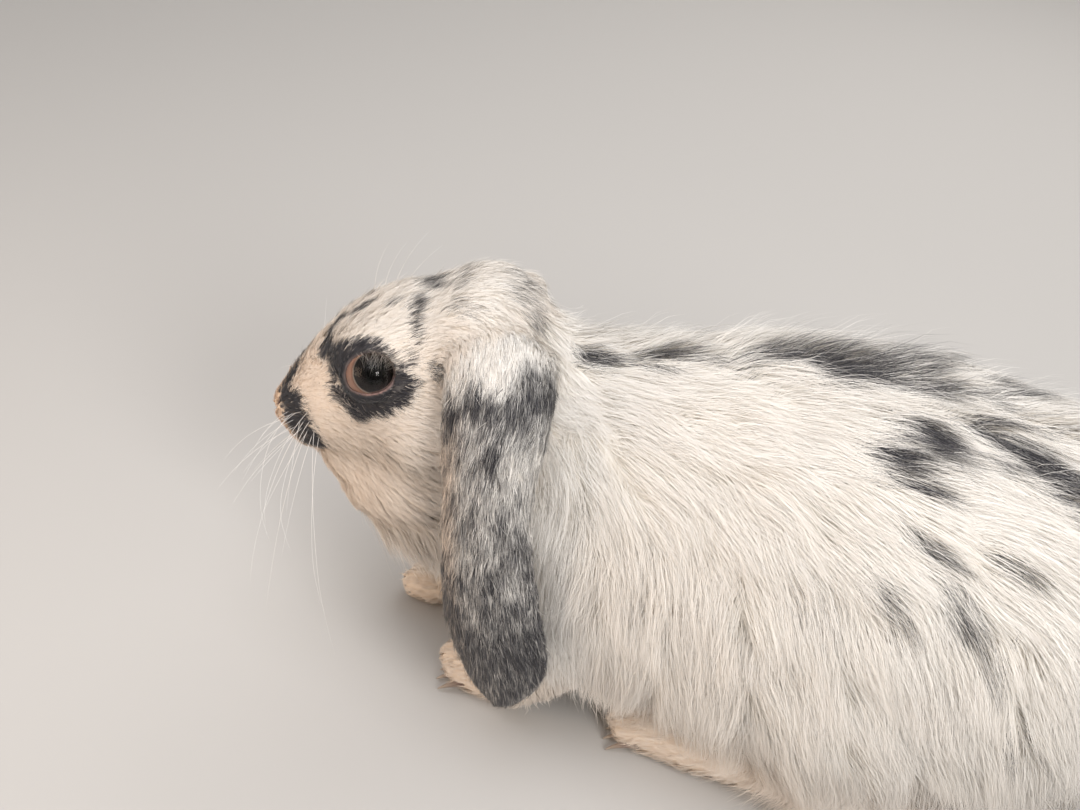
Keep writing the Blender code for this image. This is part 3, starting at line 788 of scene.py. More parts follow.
@dataclass
class Skin:
    """The one skin over all the flesh, and the fields of the coat that grows on it."""

    plan: BodyPlan
    voxel: float = 1.5
    bridge: float = 0.35
    settle: int = 4
    object: bpy.types.Object = field(init=False)
    points: np.ndarray = field(init=False)
    triangles: np.ndarray = field(init=False)
    loops: np.ndarray = field(init=False)
    normals: np.ndarray = field(init=False)
    nodes: np.ndarray = field(init=False)
    owner: np.ndarray = field(init=False)
    areas: np.ndarray = field(init=False)
    flat: np.ndarray = field(init=False)
    depth: np.ndarray = field(init=False)
    length: np.ndarray = field(init=False)
    lie: np.ndarray = field(init=False)
    bare: np.ndarray = field(init=False)
    own: np.ndarray = field(init=False)
    tree: BVHTree = field(init=False)

    def flesh(self) -> list[str]:
        """The nodes that the skin stands for."""
        return sorted(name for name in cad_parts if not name.startswith("eye"))

    def shell(self) -> tuple[np.ndarray, np.ndarray]:
        """Joins copies of the flesh, swollen over their cuts, in one closed surface, finer at nose and eyes.

        Returns:
            Points and triangles.
        """
        swollen = []
        for name in self.flesh():
            work = bmesh.new()
            work.from_mesh(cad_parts[name].data)
            bmesh.ops.remove_doubles(work, verts=work.verts, dist=1e-6)
            copy = bpy.data.meshes.new("copy")
            work.to_mesh(copy)
            work.free()
            triangles, _ = mesh_triangles(copy)
            points = mesh_points(copy)
            swollen.append((points + self.bridge * MM * point_normals(points, triangles), triangles))
            bpy.data.meshes.remove(copy)
        joined = put_mesh("flesh", *gather_triangles(swollen))
        remesh = joined.modifiers.new("skin", "REMESH")
        remesh.mode = "VOXEL"
        remesh.voxel_size = self.voxel * MM
        remesh.adaptivity = 0
        graph = bpy.context.evaluated_depsgraph_get()
        made = bpy.data.meshes.new_from_object(joined.evaluated_get(graph))
        bpy.data.objects.remove(joined)
        work = bmesh.new()
        work.from_mesh(made)
        nose = Vector(self.plan.from_head((4, 0, -2)))
        eyes = [Vector(self.plan.globe(hand)) for _, hand in SIDES]
        for near_nose, near_eye in ((14, 12.5), (9, 0)):
            edges = set()
            for face in work.faces:
                middle = face.calc_center_median()
                close = min((middle - eye).length for eye in eyes) < near_eye * MM
                if close or (middle - nose).length < near_nose * MM:
                    edges.update(face.edges)
            bmesh.ops.subdivide_edges(work, edges=list(edges), cuts=1, use_grid_fill=True)
        bmesh.ops.triangulate(work, faces=work.faces)
        work.to_mesh(made)
        work.free()
        triangles, _ = mesh_triangles(made)
        points = mesh_points(made)
        bpy.data.meshes.remove(made)
        return points, triangles

    def nearest_nodes(self, points: np.ndarray) -> np.ndarray:
        """Which node's surface is nearest to each point.

        Args:
            points: places in metres of the frame.

        Returns:
            One node name for each point.
        """
        meshes = [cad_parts[name].data for name in self.flesh()]
        parts = [(mesh_points(mesh), mesh_triangles(mesh)[0]) for mesh in meshes]
        owner = np.repeat(self.flesh(), [len(triangles) for _, triangles in parts])
        corners, faces = gather_triangles(parts)
        tree = BVHTree.FromPolygons(corners.tolist(), faces.tolist())
        return owner[[tree.find_nearest(point)[2] for point in points.tolist()]]

    def lie_of(self, points: np.ndarray, normals: np.ndarray, nodes: np.ndarray) -> np.ndarray:
        """The way the coat lies: back from the nose, down ears and legs, tailward and down over the trunk.

        Args:
            points: places in metres of the frame.
            normals: unit normals there.
            nodes: whose surface they are on.

        Returns:
            Unit tangents.
        """
        plan = self.plan.to_plan(points)
        kinds = np.array([kind_of(node) for node in nodes])
        side = np.sign(plan[:, 1:2]) * np.array([0, 1, 0])
        tailward, down = np.array([1.0, 0, 0]), np.array([0, 0, -1.0])
        flank = ease(1 - normals[:, 2], 0.15, 0.9)[:, None]
        hind = ease(plan[:, 0], 190, 290)[:, None]
        lie = tailward * (1.0 - 0.72 * flank + 0.25 * hind * flank) + down * (0.95 * flank) + 0.25 * side
        from_nose = (self.plan.in_head(points) - np.array([-6.0, 0, 2.0])) @ self.plan.axes.T
        head = np.isin(kinds, ("head", "muzzle"))
        lie = np.where(head[:, None], unit(from_nose) + 0.12 * down, lie)
        lie = np.where((kinds == "throat")[:, None], tailward * 0.8 + down * 0.55, lie)
        for name, hand in SIDES:
            line = self.plan.ear_points(hand)
            _, nearest, heading = nearest_on_line(plan, line)
            lie = np.where((nodes == f"ear_{name}")[:, None], heading, lie)
            near = 0.6 * ease(-np.linalg.norm(plan - line[1], axis=1), -26, -10)[:, None] * head[:, None]
            lie = lie * (1 - near) + near * (unit(line[3] - line[1]) + 0.5 * tailward)
        legs = np.isin(kinds, ("upper_foreleg", "forearm", "hock"))
        lie = np.where(legs[:, None], down + 0.18 * tailward, lie)
        lie = np.where((kinds == "thigh")[:, None], down * 0.9 + tailward * 0.45, lie)
        feet = np.isin(kinds, ("forefoot", "hindfoot"))
        lie = np.where(feet[:, None], -tailward + 0.25 * down, lie)
        lie = np.where((kinds == "tail")[:, None], tailward * 0.25 - down * 0.9, lie)
        return square_up(lie, normals)

    def part_round_eyes(self, lie: np.ndarray) -> np.ndarray:
        """Leads the coat round each eye: beside the lids, what runs at the eye is turned away from it."""
        for _, hand in SIDES:
            distance, off, around = self.plan.round_eye(self.points, hand)
            away = square_up(self.points - self.plan.globe(hand), self.normals)
            gap = distance * np.sin(np.radians(np.minimum(off, 90))) - self.plan.globe_radius
            near = bump(np.maximum(gap, 0), 4.5) * (distance < 20)
            inward = np.minimum((lie * away).sum(1), 0)
            lie = lie - (near * inward)[:, None] * away + (0.45 * near)[:, None] * away
        return square_up(lie, self.normals)

    def open_lids(self, points: np.ndarray) -> np.ndarray:
        """Draws the skin back from each eye's opening: what lies over it goes to the lids' edge.

        Args:
            points: the skin's points.

        Returns:
            The moved points.
        """
        points = points.copy()
        for _, hand in SIDES:
            over = self.plan.over_eye(points, hand, LID_TUCK)
            distance, off, around = self.plan.round_eye(points[over], hand)
            rows = self.plan.looking(hand, self.plan.gaze)
            turn, lean = np.radians(around), np.radians(self.plan.lid_edge(around) + LID_TUCK)
            aside = self.plan.globe_radius * np.sin(lean)
            out = np.minimum(distance * np.cos(np.radians(off)), self.plan.globe_radius * np.cos(lean) + 0.1)
            local = np.stack([aside * np.cos(turn), aside * np.sin(turn), out], axis=1)
            points[over] = self.plan.globe(hand) + local @ rows * MM
        return points

    def toe_clefts(self) -> list[tuple[np.ndarray, float, float]]:
        """The three clefts between each foot's toes: lines in metres, with their width and depth."""
        made = []
        for kind in ("forefoot", "hindfoot"):
            for side, _ in SIDES:
                low, high = (self.plan.to_plan(np.array(corner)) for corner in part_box(f"{kind}_{side}"))
                for place in (-1, 0, 1):
                    middle = (low[1] + high[1]) / 2
                    start = np.array([low[0] + 0.8 * abs(place), middle + TOE_APART * place, 0])
                    line = start + [(1, 0, 2.5), (0, 0, 7), (4, 0, 11), (13, 0, 15)]
                    made.append((self.plan.to_frame(line), 1.1, 1.7))
        return made

    def press_grooves(self) -> None:
        """Sinks nostrils, cleft, mouth and toes: by depth * exp(-(gap / width) squared) along the normals."""
        lines = self.toe_clefts()
        clefts = len(lines)
        for groove in GROOVES:
            for _, hand in SIDES:
                line = self.plan.from_head(np.array(groove.places) * (1, hand, 1))
                lines.append((line, groove.width, groove.depth))
        tree = BVHTree.FromPolygons(self.points.tolist(), self.triangles.tolist())
        sink, self.bare = np.zeros(len(self.points)), np.zeros(len(self.points))
        for number, (line, width, depth) in enumerate(lines):
            line = np.array([tuple(tree.find_nearest(place)[0]) for place in line.tolist()])
            _, nearest, _ = nearest_on_line(self.points, line)
            gap = np.linalg.norm(self.points - nearest, axis=1) / MM
            sink = np.maximum(sink, depth * bump(gap, width))
            if number >= clefts:
                self.bare = np.maximum(self.bare, 1 - ease(gap, width * 0.8, width * 1.5))
        self.points = self.points - (sink * MM)[:, None] * self.normals

    def lid(self, hand: float) -> tuple[np.ndarray, np.ndarray, np.ndarray, np.ndarray]:
        """The lids of one eye: a thin rolled rim round the opening, whose outer part runs under the skin.

        Each ring lies at its angle beyond the lids' edge, and at its own distance from the globe's middle.
        The rim is bare and pink, mostly below and behind. Beyond it the coat grows.

        Args:
            hand: the side, -1 for the left.

        Returns:
            Points, triangles, how bare and pink each point is, and which points bear the coat.
        """
        around = np.arange(96) * 360 / 96
        turn = np.radians(around)[None]
        lean = np.radians(self.plan.lid_edge(around)[None] + LID_BEYOND[:, None])
        wrinkle = 0.05 * np.sin(7 * turn + 1) * (LID_BEYOND[:, None] > 2)
        reach = self.plan.globe_radius + LID_OUT[:, None] + wrinkle
        local = np.stack([np.sin(lean) * np.cos(turn), np.sin(lean) * np.sin(turn), np.cos(lean)], axis=2)
        local = local * reach[..., None]
        points = self.plan.globe(hand) + local.reshape(-1, 3) @ self.plan.looking(hand, self.plan.gaze) * MM
        faces = grid_faces(len(LID_BEYOND), len(around), True)
        triangles = np.concatenate([faces[:, [0, 1, 2]], faces[:, [0, 2, 3]]])
        facing = (point_normals(points, triangles) * (points - self.plan.globe(hand))).sum()
        if facing < 0:
            triangles = triangles[:, ::-1]
        rosy = 0.14 + 0.80 * bump((around - 258 + 180) % 360 - 180, 66)
        pink = np.outer(LID_PINK, rosy).ravel()
        return points, triangles, pink, np.repeat(LID_BEYOND >= LID_FURRED_FROM, len(around))

    def build(self) -> None:
        """Makes the skin: the closed shell drawn in by the coat's depth, with lids, nostrils and mouth."""
        points, triangles = self.shell()
        edges = edges_of(triangles)
        points = relax(points, edges, 2, 0.4)
        normals = point_normals(points, triangles)
        self.nodes = self.nearest_nodes(points)
        kinds = [kind_of(node) for node in self.nodes]
        depth = np.array([HAIR[kind].depth for kind in kinds])
        length = np.array([HAIR[kind].length for kind in kinds])
        log.info("shell: %d points, %d triangles", len(points), len(triangles))
        near_eye = np.minimum(*[np.linalg.norm(points - self.plan.globe(hand), axis=1) for _, hand in SIDES])
        near_nose = np.linalg.norm(self.plan.in_head(points), axis=1)
        calm = np.minimum(ease(near_eye / MM, 10, 20), 0.3 + 0.7 * ease(near_nose, 3, 14))
        depth, length = relax(depth, edges, 12), relax(length, edges, 12)
        haunch = relax(np.array([kind in ("thigh", "rump") for kind in kinds], float), edges, 12)
        low = 1 - ease(self.plan.to_plan(points)[:, 2], 22, 62)
        length = length * (1 + 0.45 * haunch * low)
        self.depth = depth * (0.35 + 0.65 * calm)
        self.length = length * (0.42 + 0.58 * calm)
        lie = relax(self.lie_of(points, normals, self.nodes), edges, 10)
        for _ in range(self.settle):
            points = points - (self.depth * MM / self.settle)[:, None] * normals
            points = relax(points, edges, 2, 0.35)
            normals = point_normals(points, triangles)
        self.points, self.triangles = self.open_lids(points), triangles
        self.normals = point_normals(self.points, triangles)
        self.lie = square_up(lie, self.normals)
        self.press_grooves()
        self.normals = point_normals(self.points, triangles)
        self.own = np.ones(len(self.points), bool)
        self.add_lids()
        self.lie = self.part_round_eyes(self.lie)
        self.tree = BVHTree.FromPolygons(self.points.tolist(), self.triangles.tolist())
        self.object = put_mesh("skin", self.points, self.triangles)
        self.measure()

    def add_lids(self) -> None:
        """Joins the lids to the skin, with short hair beyond their bare rims."""
        for _, hand in SIDES:
            points, triangles, pink, furred = self.lid(hand)
            nodes = np.where(furred, "head", "lid")
            normals = point_normals(points, triangles)
            joined = {
                "points": points,
                "normals": normals,
                "nodes": nodes,
                "bare": pink,
                "depth": LID_DEPTH * furred,
                "length": LID_LENGTH * furred,
                "lie": self.lie_of(points, normals, nodes),
                "own": np.zeros(len(points), bool),
            }
            self.triangles = np.concatenate([self.triangles, triangles + len(self.points)])
            for name, values in joined.items():
                setattr(self, name, np.concatenate([getattr(self, name), values]))

    def measure(self) -> None:
        """Lays the skin flat as the map OFBake, and notes each triangle's area, node and place on the map."""
        bpy.ops.object.select_all(action="DESELECT")
        self.object.select_set(True)
        bpy.context.view_layer.objects.active = self.object
        self.object.data.uv_layers.new(name="OFBake")
        bpy.ops.object.mode_set(mode="EDIT")
        bpy.ops.mesh.select_all(action="SELECT")
        bpy.ops.uv.smart_project(angle_limit=1.15, island_margin=0.004, scale_to_bounds=True)
        bpy.ops.object.mode_set(mode="OBJECT")
        mesh = self.object.data
        places = np.empty(len(mesh.loops) * 2, np.float32)
        mesh.uv_layers["OFBake"].data.foreach_get("uv", places)
        self.triangles, self.loops = mesh_triangles(mesh)
        self.flat = places.reshape(-1, 2)[self.loops]
        a, b, c = (self.points[self.triangles[:, i]] for i in range(3))
        self.areas = np.linalg.norm(np.cross(b - a, c - a), axis=1) / 2
        self.owner = self.nodes[self.triangles[:, 0]]

    def finish(self, markings: "Markings", material: bpy.types.Material) -> None:
        """Stores the skin's tones and gives it its material.

        Args:
            markings: the dark pattern.
            material: the skin's finish.
        """
        dark = markings.darkness(self.points, membership(self.nodes))
        # the fourth channel: tan that is partly painted warm bounce light
        warm = tan_and_painted_bounce(self.plan, self.points, self.nodes)
        store_colour(self.object, "coat", np.stack([dark, self.bare, np.full(len(dark), 0.5), warm], axis=1))
        self.object.data.materials.append(material)
        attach(self.object, BODY)
        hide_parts(*self.flesh())


def membership(nodes: np.ndarray) -> dict[Part, np.ndarray]:
    """How far each point belongs to each chart: wholly to the part that its node is on."""
    kinds = np.array([kind_of(node) for node in nodes])
    head = np.isin(kinds, ("head", "muzzle", "lid")).astype(float)
    left = (nodes == "ear_left").astype(float)
    right = (nodes == "ear_right").astype(float)
    return {
        Part.TRUNK: (1 - head) * (1 - left) * (1 - right),
        Part.HEAD: head,
        Part.LEFT_EAR: left,
        Part.RIGHT_EAR: right,
    }


def tan_and_painted_bounce(plan: BodyPlan, points: np.ndarray, nodes: np.ndarray) -> np.ndarray:
    """How tan the coat is, partly its own tan and partly painted warm bounce light from below: most on feet
    and nose, some on cheeks, an ear's front edge and under the body.
    """
    at = plan.to_plan(points)
    local = plan.in_head(points)
    kinds = np.array([kind_of(node) for node in nodes])
    # tan on feet and forearms: partly their own, partly painted warm bounce light
    foot = np.isin(kinds, ("forefoot", "hindfoot", "hock")) * 0.42 + (kinds == "forearm") * 0.3
    # painted warm bounce light: the nearer the floor, the more tan
    low = 0.34 * (1 - ease(at[:, 2], 8, 55))
    # the face's tan, partly painted warm bounce light on cheeks and nose
    face = np.isin(kinds, ("head", "muzzle", "lid")) * (
        0.16 + 0.30 * (1 - ease(local[:, 0], 20, 66)) + 0.42 * bump(local[:, 0], 9)
    )
    # painted bounce light from below: less tan towards the crown
    face = face * (1 - 0.55 * ease(local[:, 2], 18, 30))
    throat = (kinds == "throat") * 0.25
    ear = np.zeros(len(points))
    for name, part in (("ear_left", Part.LEFT_EAR), ("ear_right", Part.RIGHT_EAR)):
        along, across = plan.chart(points, part).T
        ear = np.maximum(ear, (nodes == name) * 0.55 * ease(-across, 5, 12) * ease(along, 30, 45))
    return np.clip(np.max([foot, low, face, throat, ear], axis=0), 0, 1)


# ---------------------------------------------------------------- the coat


@dataclass(frozen=True)
class Pelt:
    """One piece of the coat: which nodes it covers and how its tufts are made.

    Density is tufts to a square centimetre. Spread, width, curl and lock are in millimetres. Blend is how far
    dark hairs shade into pale ones, instead of standing among them. A lock is a group of tufts, whose tips
    draw together by the gather. It leans its own way by the stray, in radians.
    """

    name: str
    nodes: tuple[str, ...]
    density: float
    strands: int
    joints: int
    width: float
    spread: float
    curl: float
    lock: float
    gather: float
    stray: float
    blend: float
    slot: str = "white_fur"
    side: int = 0


def face_pelt(name: str, density: float, side: int) -> Pelt:
    """One half of the face's short fur."""
    return Pelt(name, ("head", "muzzle"), density, 7, 3, 0.16, 0.6, 0.16, 3.5, 0.22, 0.14, 0.15, side=side)


def long_pelt(name: str, nodes: tuple[str, ...], density: float, side: int = 0) -> Pelt:
    """A piece of the body's long fur."""
    return Pelt(name, nodes, density, 8, 4, 0.16, 1.5, 1.6, 9.0, 0.36, 0.36, 0.22, side=side)


LOWER_LEGS = tuple(
    f"{kind}_{side}" for kind in ("forearm", "forefoot", "hock", "hindfoot") for side in ("left", "right")
)
PELTS = (
    face_pelt("coat_face_left", 112, -1),
    face_pelt("coat_face_right", 92, 1),
    Pelt("coat_ear_left", ("ear_left",), 84, 7, 3, 0.21, 0.7, 0.14, 3.0, 0.25, 0.12, 0.5, "grey_fur"),
    Pelt("coat_ear_right", ("ear_right",), 58, 7, 3, 0.27, 0.7, 0.14, 3.0, 0.25, 0.12, 0.5, "grey_fur"),
    long_pelt("coat_neck", ("neck", "throat"), 34),
    long_pelt("coat_chest", ("chest",), 29),
    long_pelt("coat_flank_left", ("belly",), 32, -1),
    long_pelt("coat_flank_right", ("belly",), 22, 1),
    long_pelt("coat_rump_left", ("rump",), 29, -1),
    long_pelt("coat_rump_right", ("rump",), 22, 1),
    long_pelt("coat_haunch_left", ("thigh_left",), 32),
    long_pelt("coat_haunch_right", ("thigh_right",), 25),
    long_pelt("coat_forelegs", ("upper_foreleg_left", "upper_foreleg_right"), 30),
    Pelt("coat_feet", LOWER_LEGS, 36, 7, 3, 0.23, 0.6, 0.12, 3.0, 0.10, 0.10, 0.15, "tan_fur"),
    Pelt("coat_tail", ("tail",), 38, 8, 4, 0.28, 1.0, 0.6, 5.0, 0.4, 0.25, 0.2),
)
PATCH = 0.003  # the side of a tuft's patch on the map OFBake
LID_TUFTS = 2.2  # how much denser the tufts stand on the lids
FLOOR_GAP = 0.25  # millimetres that the hairs keep off the floor


@dataclass
class Tufts:
    """The strands of one piece of coat, while it is grown: one row for each tuft."""

    triangle: np.ndarray
    shares: np.ndarray
    corners: np.ndarray
    roots: np.ndarray

    def __len__(self) -> int:
        """How many tufts there are."""
        return len(self.roots)

    def at_root(self, values: np.ndarray) -> np.ndarray:
        """A field of the skin at the roots."""
        shares = self.shares if values.ndim == 1 else self.shares[:, :, None]
        return (values[self.corners] * shares).sum(1)


@dataclass
class Coat:
    """All the fur: tufts of tapered strands rooted on the skin, that follow it along the lie of the coat."""

    plan: BodyPlan
    skin: Skin
    markings: Markings
    material: bpy.types.Material
    seed: int = 7

    def sow(self, pelt: Pelt, random: np.random.Generator) -> Tufts:
        """Draws the tufts' roots evenly over a piece's share of the skin, leaving out what is bare.

        Args:
            pelt: the piece.
            random: where the draws come from.

        Returns:
            The tufts.
        """
        skin = self.skin
        mine = np.isin(skin.owner, pelt.nodes)
        if pelt.side:
            middle = skin.points[skin.triangles].mean(1)
            across = self.plan.in_head(middle) if "head" in pelt.nodes else self.plan.to_plan(middle)
            mine &= across[:, 1] * pelt.side > 0
        weights = np.where(mine, skin.areas, 0) * np.where(skin.own[skin.triangles[:, 0]], 1, LID_TUFTS)
        count = int(pelt.density * weights.sum() * 1e4)
        edges = np.cumsum(weights)
        # one root in each of equal steps of the summed area, so that they are spread evenly
        targets = (np.arange(count) + random.random(count)) / count * edges[-1]
        triangle = np.clip(np.searchsorted(edges, targets), 0, len(weights) - 1)
        first, second = random.random(count), random.random(count)
        over = first + second > 1
        first, second = np.where(over, 1 - first, first), np.where(over, 1 - second, second)
        shares = np.stack([1 - first - second, first, second], axis=1)
        corners = skin.triangles[triangle]
        roots = (skin.points[corners] * shares[:, :, None]).sum(1)
        keep = (skin.bare[corners] * shares).sum(1) < 0.5
        own = skin.own[corners[:, 0]]
        for _, hand in SIDES:
            distance, off, around = self.plan.round_eye(roots, hand)
            beyond = off - self.plan.lid_edge(around)
            lid = self.plan.globe_radius + np.interp(beyond, LID_BEYOND[2:], LID_OUT[2:])
            keep &= ~own | (distance > lid) | (distance > 16)
        return Tufts(triangle[keep], shares[keep], corners[keep], roots[keep])

    def touch(self, points: np.ndarray) -> tuple[np.ndarray, np.ndarray, np.ndarray]:
        """The skin nearest to each point, with its normal and the lie of the coat there.

        Args:
            points: places in metres of the frame.

        Returns:
            Places, unit normals and lies.
        """
        skin = self.skin
        found = [skin.tree.find_nearest(point) for point in points.tolist()]
        place = np.array([tuple(hit[0]) for hit in found])
        corners = skin.triangles[np.array([hit[2] for hit in found])]
        gaps = np.linalg.norm(skin.points[corners] - place[:, None], axis=2)
        shares = 1 / (gaps + 1e-5)
        shares = (shares / shares.sum(1, keepdims=True))[:, :, None]
        return place, unit((skin.normals[corners] * shares).sum(1)), (skin.lie[corners] * shares).sum(1)

    def trace(
        self, roots: np.ndarray, lies: np.ndarray, lengths: np.ndarray, joints: int, hang: float
    ) -> tuple[np.ndarray, np.ndarray, np.ndarray]:
        """Leads each tuft's middle line over the skin: a step along the lie, then back to the nearest skin.

        Where the skin turns under, a line may leave it and hang instead.

        Args:
            roots: where the tufts start.
            lies: their first directions.
            lengths: how long they are, in metres.
            joints: points to each line.
            hang: how freely they hang, from 0 to 1.

        Returns:
            The lines' points, and the normals and directions there.
        """
        place, up, _ = self.touch(roots)
        lines, ups, ways = [roots], [up], [square_up(lies, up)]
        for _ in range(joints - 1):
            ahead = lines[-1] + ways[-1] * (lengths / (joints - 1))[:, None]
            place, up, lie = self.touch(ahead)
            way = square_up(0.6 * lie + 0.4 * ways[-1], up)
            free = hang * ease(-up[:, 2], 0.0, 0.4)[:, None]
            lines.append(place + free * (ahead - place))
            ways.append(unit(way + free * (ways[-1] - (0, 0, 0.4) - way)))
            ups.append(up)
        return np.stack(lines, 1), np.stack(ups, 1), np.stack(ways, 1)

    def locks(self, pelt: Pelt, roots: np.ndarray, random: np.random.Generator) -> np.ndarray:
        """Which tuft leads the lock that each tuft belongs to.

        Args:
            pelt: the piece.
            roots: the tufts' roots.
            random: where the draws come from.

        Returns:
            One tuft's number for each.
        """
        count = max(1, int(len(roots) / (pelt.density * (pelt.lock / 10) ** 2)))
        leaders = random.choice(len(roots), count, replace=False)
        tree = KDTree(count)
        for number, leader in enumerate(leaders):
            tree.insert(roots[leader], number)
        tree.balance()
        return leaders[[tree.find(root)[1] for root in roots.tolist()]]

    def swing(
        self, pelt: Pelt, roots: np.ndarray, leader: np.ndarray, random: np.random.Generator
    ) -> np.ndarray:
        """How far each tuft turns aside from the lie: in waves, with its lock and on its own.

        Args:
            pelt: the piece.
            roots: the tufts' roots.
            leader: the tuft that leads each one's lock.
            random: where the draws come from.

        Returns:
            One angle in radians for each tuft, smaller beside the eyes.
        """
        count = len(roots)
        turn = pelt.stray * (0.9 * wander(roots, 26 * MM, 31) + 0.45 * wander(roots, 6 * MM, 32))
        turn = turn + pelt.stray * random.standard_normal(count)[leader]
        turn = turn + 0.12 * random.standard_normal(count)
        gaps = [np.linalg.norm(roots - self.plan.globe(hand), axis=1) / MM for _, hand in SIDES]
        return np.clip(turn * (0.25 + 0.75 * ease(np.minimum(*gaps), 11, 20)), -1.1, 1.1)

    def fan_out(
        self,
        pelt: Pelt,
        paths: tuple[np.ndarray, np.ndarray, np.ndarray],
        depth: np.ndarray,
        length: np.ndarray,
        random: np.random.Generator,
    ) -> np.ndarray:
        """Spreads each tuft's strands about its middle line.

        A strand rises from the skin as depth * (1 - (1 - s) ** 1.7), with s from root to tip, and draws in
        towards the middle line as it goes.

        Args:
            pelt: the piece.
            paths: the tufts' middle lines, with the skin's normals and their own directions along them.
            depth: how high each tuft stands, in metres.
            length: how long each tuft is, in metres.
            random: where the draws come from.

        Returns:
            The strands' middle lines, by tuft, strand and joint.
        """
        lines, rises, ways = paths
        shape = (len(lines), pelt.strands)
        s = np.linspace(0, 1, pelt.joints)
        angle = random.random(shape) * 2 * np.pi
        radius = np.sqrt(random.random(shape)) * pelt.spread * MM
        reach = 0.72 + 0.42 * random.random(shape) + 0.22 * (random.random(shape) < 0.08)
        tall = 0.7 + 0.38 * random.random(shape)
        tall = depth[:, None] * tall * (1 + 0.7 * (random.random(shape) < 0.05))
        rise = (1 - (1 - s) ** 1.7) * tall[:, :, None]
        draw = 1 - 0.35 * s**1.3
        curl = pelt.curl * MM * random.standard_normal(shape)[:, :, None] * np.sin(s * 2.6)
        stray = 1 + 3.5 * (random.random(shape) < 0.1)
        fan = pelt.spread * MM * 0.45 * (stray * random.standard_normal(shape))[:, :, None] * s**2
        across = (radius * np.cos(angle))[:, :, None] * draw + curl + fan
        along = (radius * np.sin(angle))[:, :, None] * draw
        along = along + (reach - 1)[:, :, None] * s * length[:, None, None]
        cross = np.cross(rises, ways)
        places = (
            lines[:, None]
            + cross[:, None] * across[..., None]
            + ways[:, None] * along[..., None]
            + rises[:, None] * rise[..., None]
        )
        places[..., 2] = np.maximum(places[..., 2], FLOOR_GAP * MM)
        return places

    def grow(self, pelt: Pelt) -> bpy.types.Object:
        """Makes one piece of the coat: tufts, each led over the skin, drawn into its lock and fanned out.

        Args:
            pelt: the piece's settings.

        Returns:
            The piece.
        """
        skin, random = self.skin, np.random.default_rng(self.seed + PELTS.index(pelt))
        tufts = self.sow(pelt, random)
        roots, count = tufts.roots, len(tufts)
        leader = self.locks(pelt, roots, random)
        ups = unit(tufts.at_root(skin.normals))
        lies = square_up(tufts.at_root(skin.lie), ups)
        swing = self.swing(pelt, roots, leader, random)[:, None]
        lies = unit(lies * np.cos(swing) + np.cross(ups, lies) * np.sin(swing))
        uneven = random.random(count)[leader]
        length = tufts.at_root(skin.length) * MM * (0.80 + 0.2 * random.random(count) + 0.25 * uneven)
        heave = 1 + (0.03 + 0.30 * wander(roots, 22 * MM, 33)) * (pelt.lock > 4)
        depth = tufts.at_root(skin.depth) * MM * heave * (0.68 + 0.42 * random.random(count)[leader])
        lines, rises, ways = self.trace(roots, lies, length, pelt.joints, float(pelt.lock > 4))
        along = np.linspace(0, 1, pelt.joints) ** 1.5
        pull = pelt.gather * (0.6 + 0.4 * uneven)[:, None, None] * along[None, :, None]
        lines = lines + pull * (lines[leader] - lines)
        places = self.fan_out(pelt, (lines, rises, ways), depth, length, random)
        keep = self.clear_of_eyes(places)
        tuft, column = (numbers[keep] for numbers in np.indices(keep.shape))
        made = self.ribbons(pelt, places[keep], rises[tuft], tufts, tuft, column, random)
        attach(made, BODY)
        log.info("%s: %d tufts, %d triangles", pelt.name, count, len(made.data.polygons))
        return made

    def clear_of_eyes(self, places: np.ndarray) -> np.ndarray:
        """Which strands stay off the eyes' openings."""
        keep = np.ones(places.shape[:2], bool)
        for _, hand in SIDES:
            near = np.linalg.norm(places - self.plan.globe(hand), axis=-1).min(-1) < 0.020
            keep[near] &= ~self.plan.over_eye(places[near], hand, 1.0).any(-1)
        return keep

    def ribbons(
        self,
        pelt: Pelt,
        places: np.ndarray,
        ups: np.ndarray,
        tufts: Tufts,
        tuft: np.ndarray,
        column: np.ndarray,
        random: np.random.Generator,
    ) -> bpy.types.Object:
        """Makes the strands' faces, and stores what the coat's material reads.

        A ribbon has two points at each joint and one at its tip, and narrows as 1 - 0.75 * s. Its shading
        normal leans from its own towards the skin's, so that the coat shades as a soft whole.

        Args:
            pelt: the piece's settings.
            places: the strands' middle lines.
            ups: the skin's normals along them.
            tufts: the tufts.
            tuft: each strand's tuft.
            column: each strand's place in its tuft.
            random: where the draws come from.

        Returns:
            The piece.
        """
        count, joints = places.shape[:2]
        s = np.linspace(0, 1, joints)
        heading = unit(np.gradient(places, axis=1))
        twist = np.clip(0.35 * random.standard_normal(count), -0.7, 0.7)[:, None, None]
        level = unit(np.cross(ups, heading))
        blade = level * np.cos(twist) + np.cross(heading, level) * np.sin(twist)
        width = pelt.width * MM * (0.75 + 0.5 * random.random(count))[:, None] * (1 - 0.75 * s)
        half = blade * (0.5 * width)[..., None]
        pairs = np.stack([places - half, places + half], axis=2)[:, :-1].reshape(count, -1, 3)
        points = np.concatenate([pairs, places[:, -1:]], axis=1)
        own = unit(np.cross(heading, blade))
        own = own * np.sign((own * ups).sum(-1, keepdims=True))
        own = unit(0.30 * own + 0.80 * ups)
        normals = np.concatenate([np.repeat(own[:, :-1], 2, axis=1), own[:, -1:]], axis=1)
        verts = 2 * (joints - 1) + 1
        ladder = []
        for step in range(joints - 2):
            ladder += [(2 * step, 2 * step + 2, 2 * step + 1), (2 * step + 1, 2 * step + 2, 2 * step + 3)]
        ladder.append((2 * joints - 4, 2 * joints - 2, 2 * joints - 3))
        faces = (np.arange(count)[:, None, None] * verts + np.array(ladder)[None]).reshape(-1, 3)
        made = put_mesh(pelt.name, points.reshape(-1, 3), faces)
        mesh = made.data
        mesh.materials.append(self.material)

